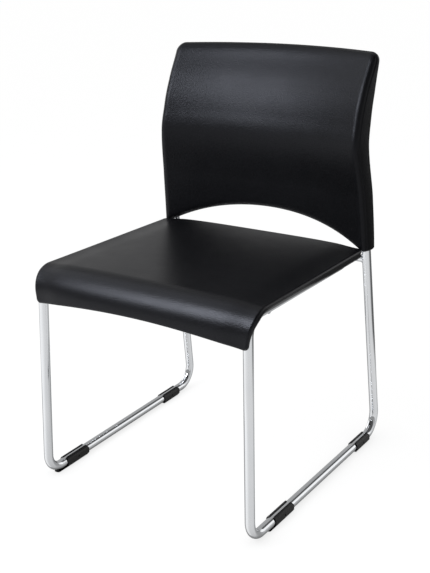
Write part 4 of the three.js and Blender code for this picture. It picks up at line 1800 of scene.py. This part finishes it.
@dataclass
class Studio:
    """A pale floor, a soft room and two softboxes."""

    camera_azimuth: float
    floor_radius: float = 60.0
    floor_shade: float = 0.06
    floor_glow: float = 0.985
    # Painted shadow near the chair's feet: the floor's glow falls to this level where ambient
    # occlusion, over the reach below, finds the chair close by.
    painted_shadow_glow: float = 0.74
    painted_shadow_reach: float = 0.09
    # Painted shadow in reflections: over this reach, ambient occlusion darkens the floor as the
    # chrome sees it under and near the chair.
    shadow_reach: float = 0.5
    mirror_floor: Pair = (0.72, 0.95)
    fill_level: float = 0.18
    horizon: Pair = (-0.03, 0.0)
    wall_top: Pair = (0.47, 0.52)
    aim: Triple = (0.0, -0.05, 0.5)
    near_floor_ring: Ring = Ring((
        (-180, 0.5), (-118, 0.5), (-104, 1.25), (-60, 1.25), (-45, 1.1), (-25, 0.98), (0, 0.91),
        (60, 0.9), (98, 0.88), (116, 0.5), (180, 0.5)))
    far_floor_ring: Ring = Ring((
        (-180, 0.5), (-118, 0.5), (-104, 1.25), (-60, 1.2), (-30, 1.0), (0, 0.91), (50, 0.9),
        (72, 0.7), (80, 0.15), (150, 0.15), (165, 0.5), (180, 0.5)))
    wall_ring: Ring = Ring((
        (-180, 0.47), (-158, 0.5), (-150, 2.2), (-122, 2.2), (-110, 0.4), (0, 0.35), (60, 0.6),
        (95, 1.0), (108, 1.3), (128, 1.3), (136, 0.8), (146, 0.47), (180, 0.47)))
    ceiling_ring: Ring = Ring((
        (-180, 0.47), (-120, 0.3), (-60, 0.1), (60, 0.1), (120, 0.12), (143, 0.12), (147, 0.47),
        (180, 0.47)))
    tint: Triple = (0.92, 0.95, 1.0)

    def lamps(self) -> tuple[Lamp, ...]:
        """The two softboxes.

        Returns:
            The lamps.
        """
        return (
            Lamp(
                "overhead_softbox",
                towards=(-0.50, -0.17, 0.85),
                distance=2.2,
                size=(1.8, 1.8),
                level=1.1,
                tint=self.tint,
            ),
            Lamp(
                "front_softbox",
                towards=(-0.371, -0.670, 0.643),
                distance=2.5,
                size=(1.15, 1.3),
                level=14.5,
                tint=self.tint,
            ),
        )

    def floor(self) -> None:
        """Lay the floor, which is white to the camera and keeps a faint true shadow of the chair; a
        painted shadow dims its glow near the chair's feet, and a painted shadow darkens it under
        the chair in reflections.
        """
        radius = self.floor_radius
        mesh = bpy.data.meshes.new("floor")
        ways = ((-1, -1), (1, -1), (1, 1), (-1, 1))
        mesh.from_pydata([(x * radius, y * radius, 0.0) for x, y in ways], [], [(0, 1, 2, 3)])
        floor = placed("floor", mesh)
        board = NodeBoard.paint("floor_paint")
        where = board.place()
        away = board.add("VectorMath", {0: where}, operation="LENGTH").outputs["Value"]
        ring = self.far_floor_ring.level(board, where, self.camera_azimuth)
        # Painted shadow in reflections: ambient occlusion tints the see-through floor dark under
        # the chair.
        shadow = board.add("AmbientOcclusion", {"Distance": self.shadow_reach}).outputs["Color"]
        through = board.add("BsdfTransparent", {"Color": shadow}).outputs[0]
        far = board.ranged(away, self.mirror_floor)
        mirrored = board.mix(far, through, board.light("Emission", ring))
        # Painted shadow: ambient occlusion dims the floor's glow near the chair's feet.
        painted_shadow_ao = board.add("AmbientOcclusion", {"Distance": self.painted_shadow_reach}).outputs["AO"]
        glow = board.ranged(painted_shadow_ao, (0.0, 1.0), (self.painted_shadow_glow, self.floor_glow))
        paint = board.add("BsdfDiffuse", {"Color": (*(self.floor_shade,) * 3, 1.0)}).outputs[0]
        seen = board.add("AddShader", {0: paint, 1: board.light("Emission", WHITE, glow)})
        board.split("OutputMaterial", paint, mirrored, seen.outputs[0])
        mesh.materials.append(board.owner)

    def room(self) -> None:
        """Set the room: white to the camera, panels in reflections, and a level fill."""
        world = bpy.data.worlds.new("studio_room")
        bpy.context.scene.world = world
        board = NodeBoard(world)
        way = board.add("TexCoord").outputs["Generated"]
        height = board.add("SeparateXYZ", {0: way}).outputs["Z"]
        floor, walls, ceiling = (
            board.light("Background", ring.level(board, way, self.camera_azimuth))
            for ring in (self.near_floor_ring, self.wall_ring, self.ceiling_ring)
        )
        lower = board.mix(board.ranged(height, self.horizon), floor, walls)
        panels = board.mix(board.ranged(height, self.wall_top), lower, ceiling)
        fill = board.light("Background", WHITE, self.fill_level)
        board.split("OutputWorld", fill, panels, board.light("Background", WHITE))

    def build(self) -> None:
        """Build the studio."""
        self.floor()
        self.room()
        for lamp in self.lamps():
            lamp.hang(Vector(self.aim))
        bpy.context.scene.view_settings.view_transform = "Standard"


@dataclass(frozen=True)
class Camera:
    """The camera at the photograph's place."""

    place: Triple = (1.01239, -1.61412, 1.02346)
    azimuth_degrees: float = 32.13
    pitch_degrees: float = 18.51
    lens: float = 61.374
    sensor_width: float = 36.0
    clip: Pair = (0.05, 200.0)

    def build(self) -> None:
        """Stand the camera."""
        azimuth, pitch = math.radians(self.azimuth_degrees), math.radians(self.pitch_degrees)
        level = math.cos(pitch)
        away = Vector((math.sin(azimuth) * level, -math.cos(azimuth) * level, math.sin(pitch)))
        data = bpy.data.cameras.new("camera")
        data.lens = self.lens
        data.sensor_width = self.sensor_width
        data.sensor_fit = "AUTO"
        data.clip_start, data.clip_end = self.clip
        camera = placed("camera", data)
        camera.location = self.place
        camera.rotation_mode = "QUATERNION"
        camera.rotation_quaternion = (-away).to_track_quat("-Z", "Y")
        bpy.context.scene.camera = camera


def main() -> None:
    """Build the chair, the studio and the camera."""
    logging.basicConfig(level=logging.INFO, format="%(name)s %(message)s")
    camera = Camera()
    camera.build()
    tubes = TubeFrame()
    shop = Workshop(Datum.from_cross_tube(tubes.front_cross_y))
    tubes.build(shop)
    Glides(tubes).build(shop)
    Seat(tubes).build(shop)
    Back(tubes).build(shop)
    Fittings().build(shop)
    Studio(camera.azimuth_degrees).build()


if __name__ == "__main__":
    main()
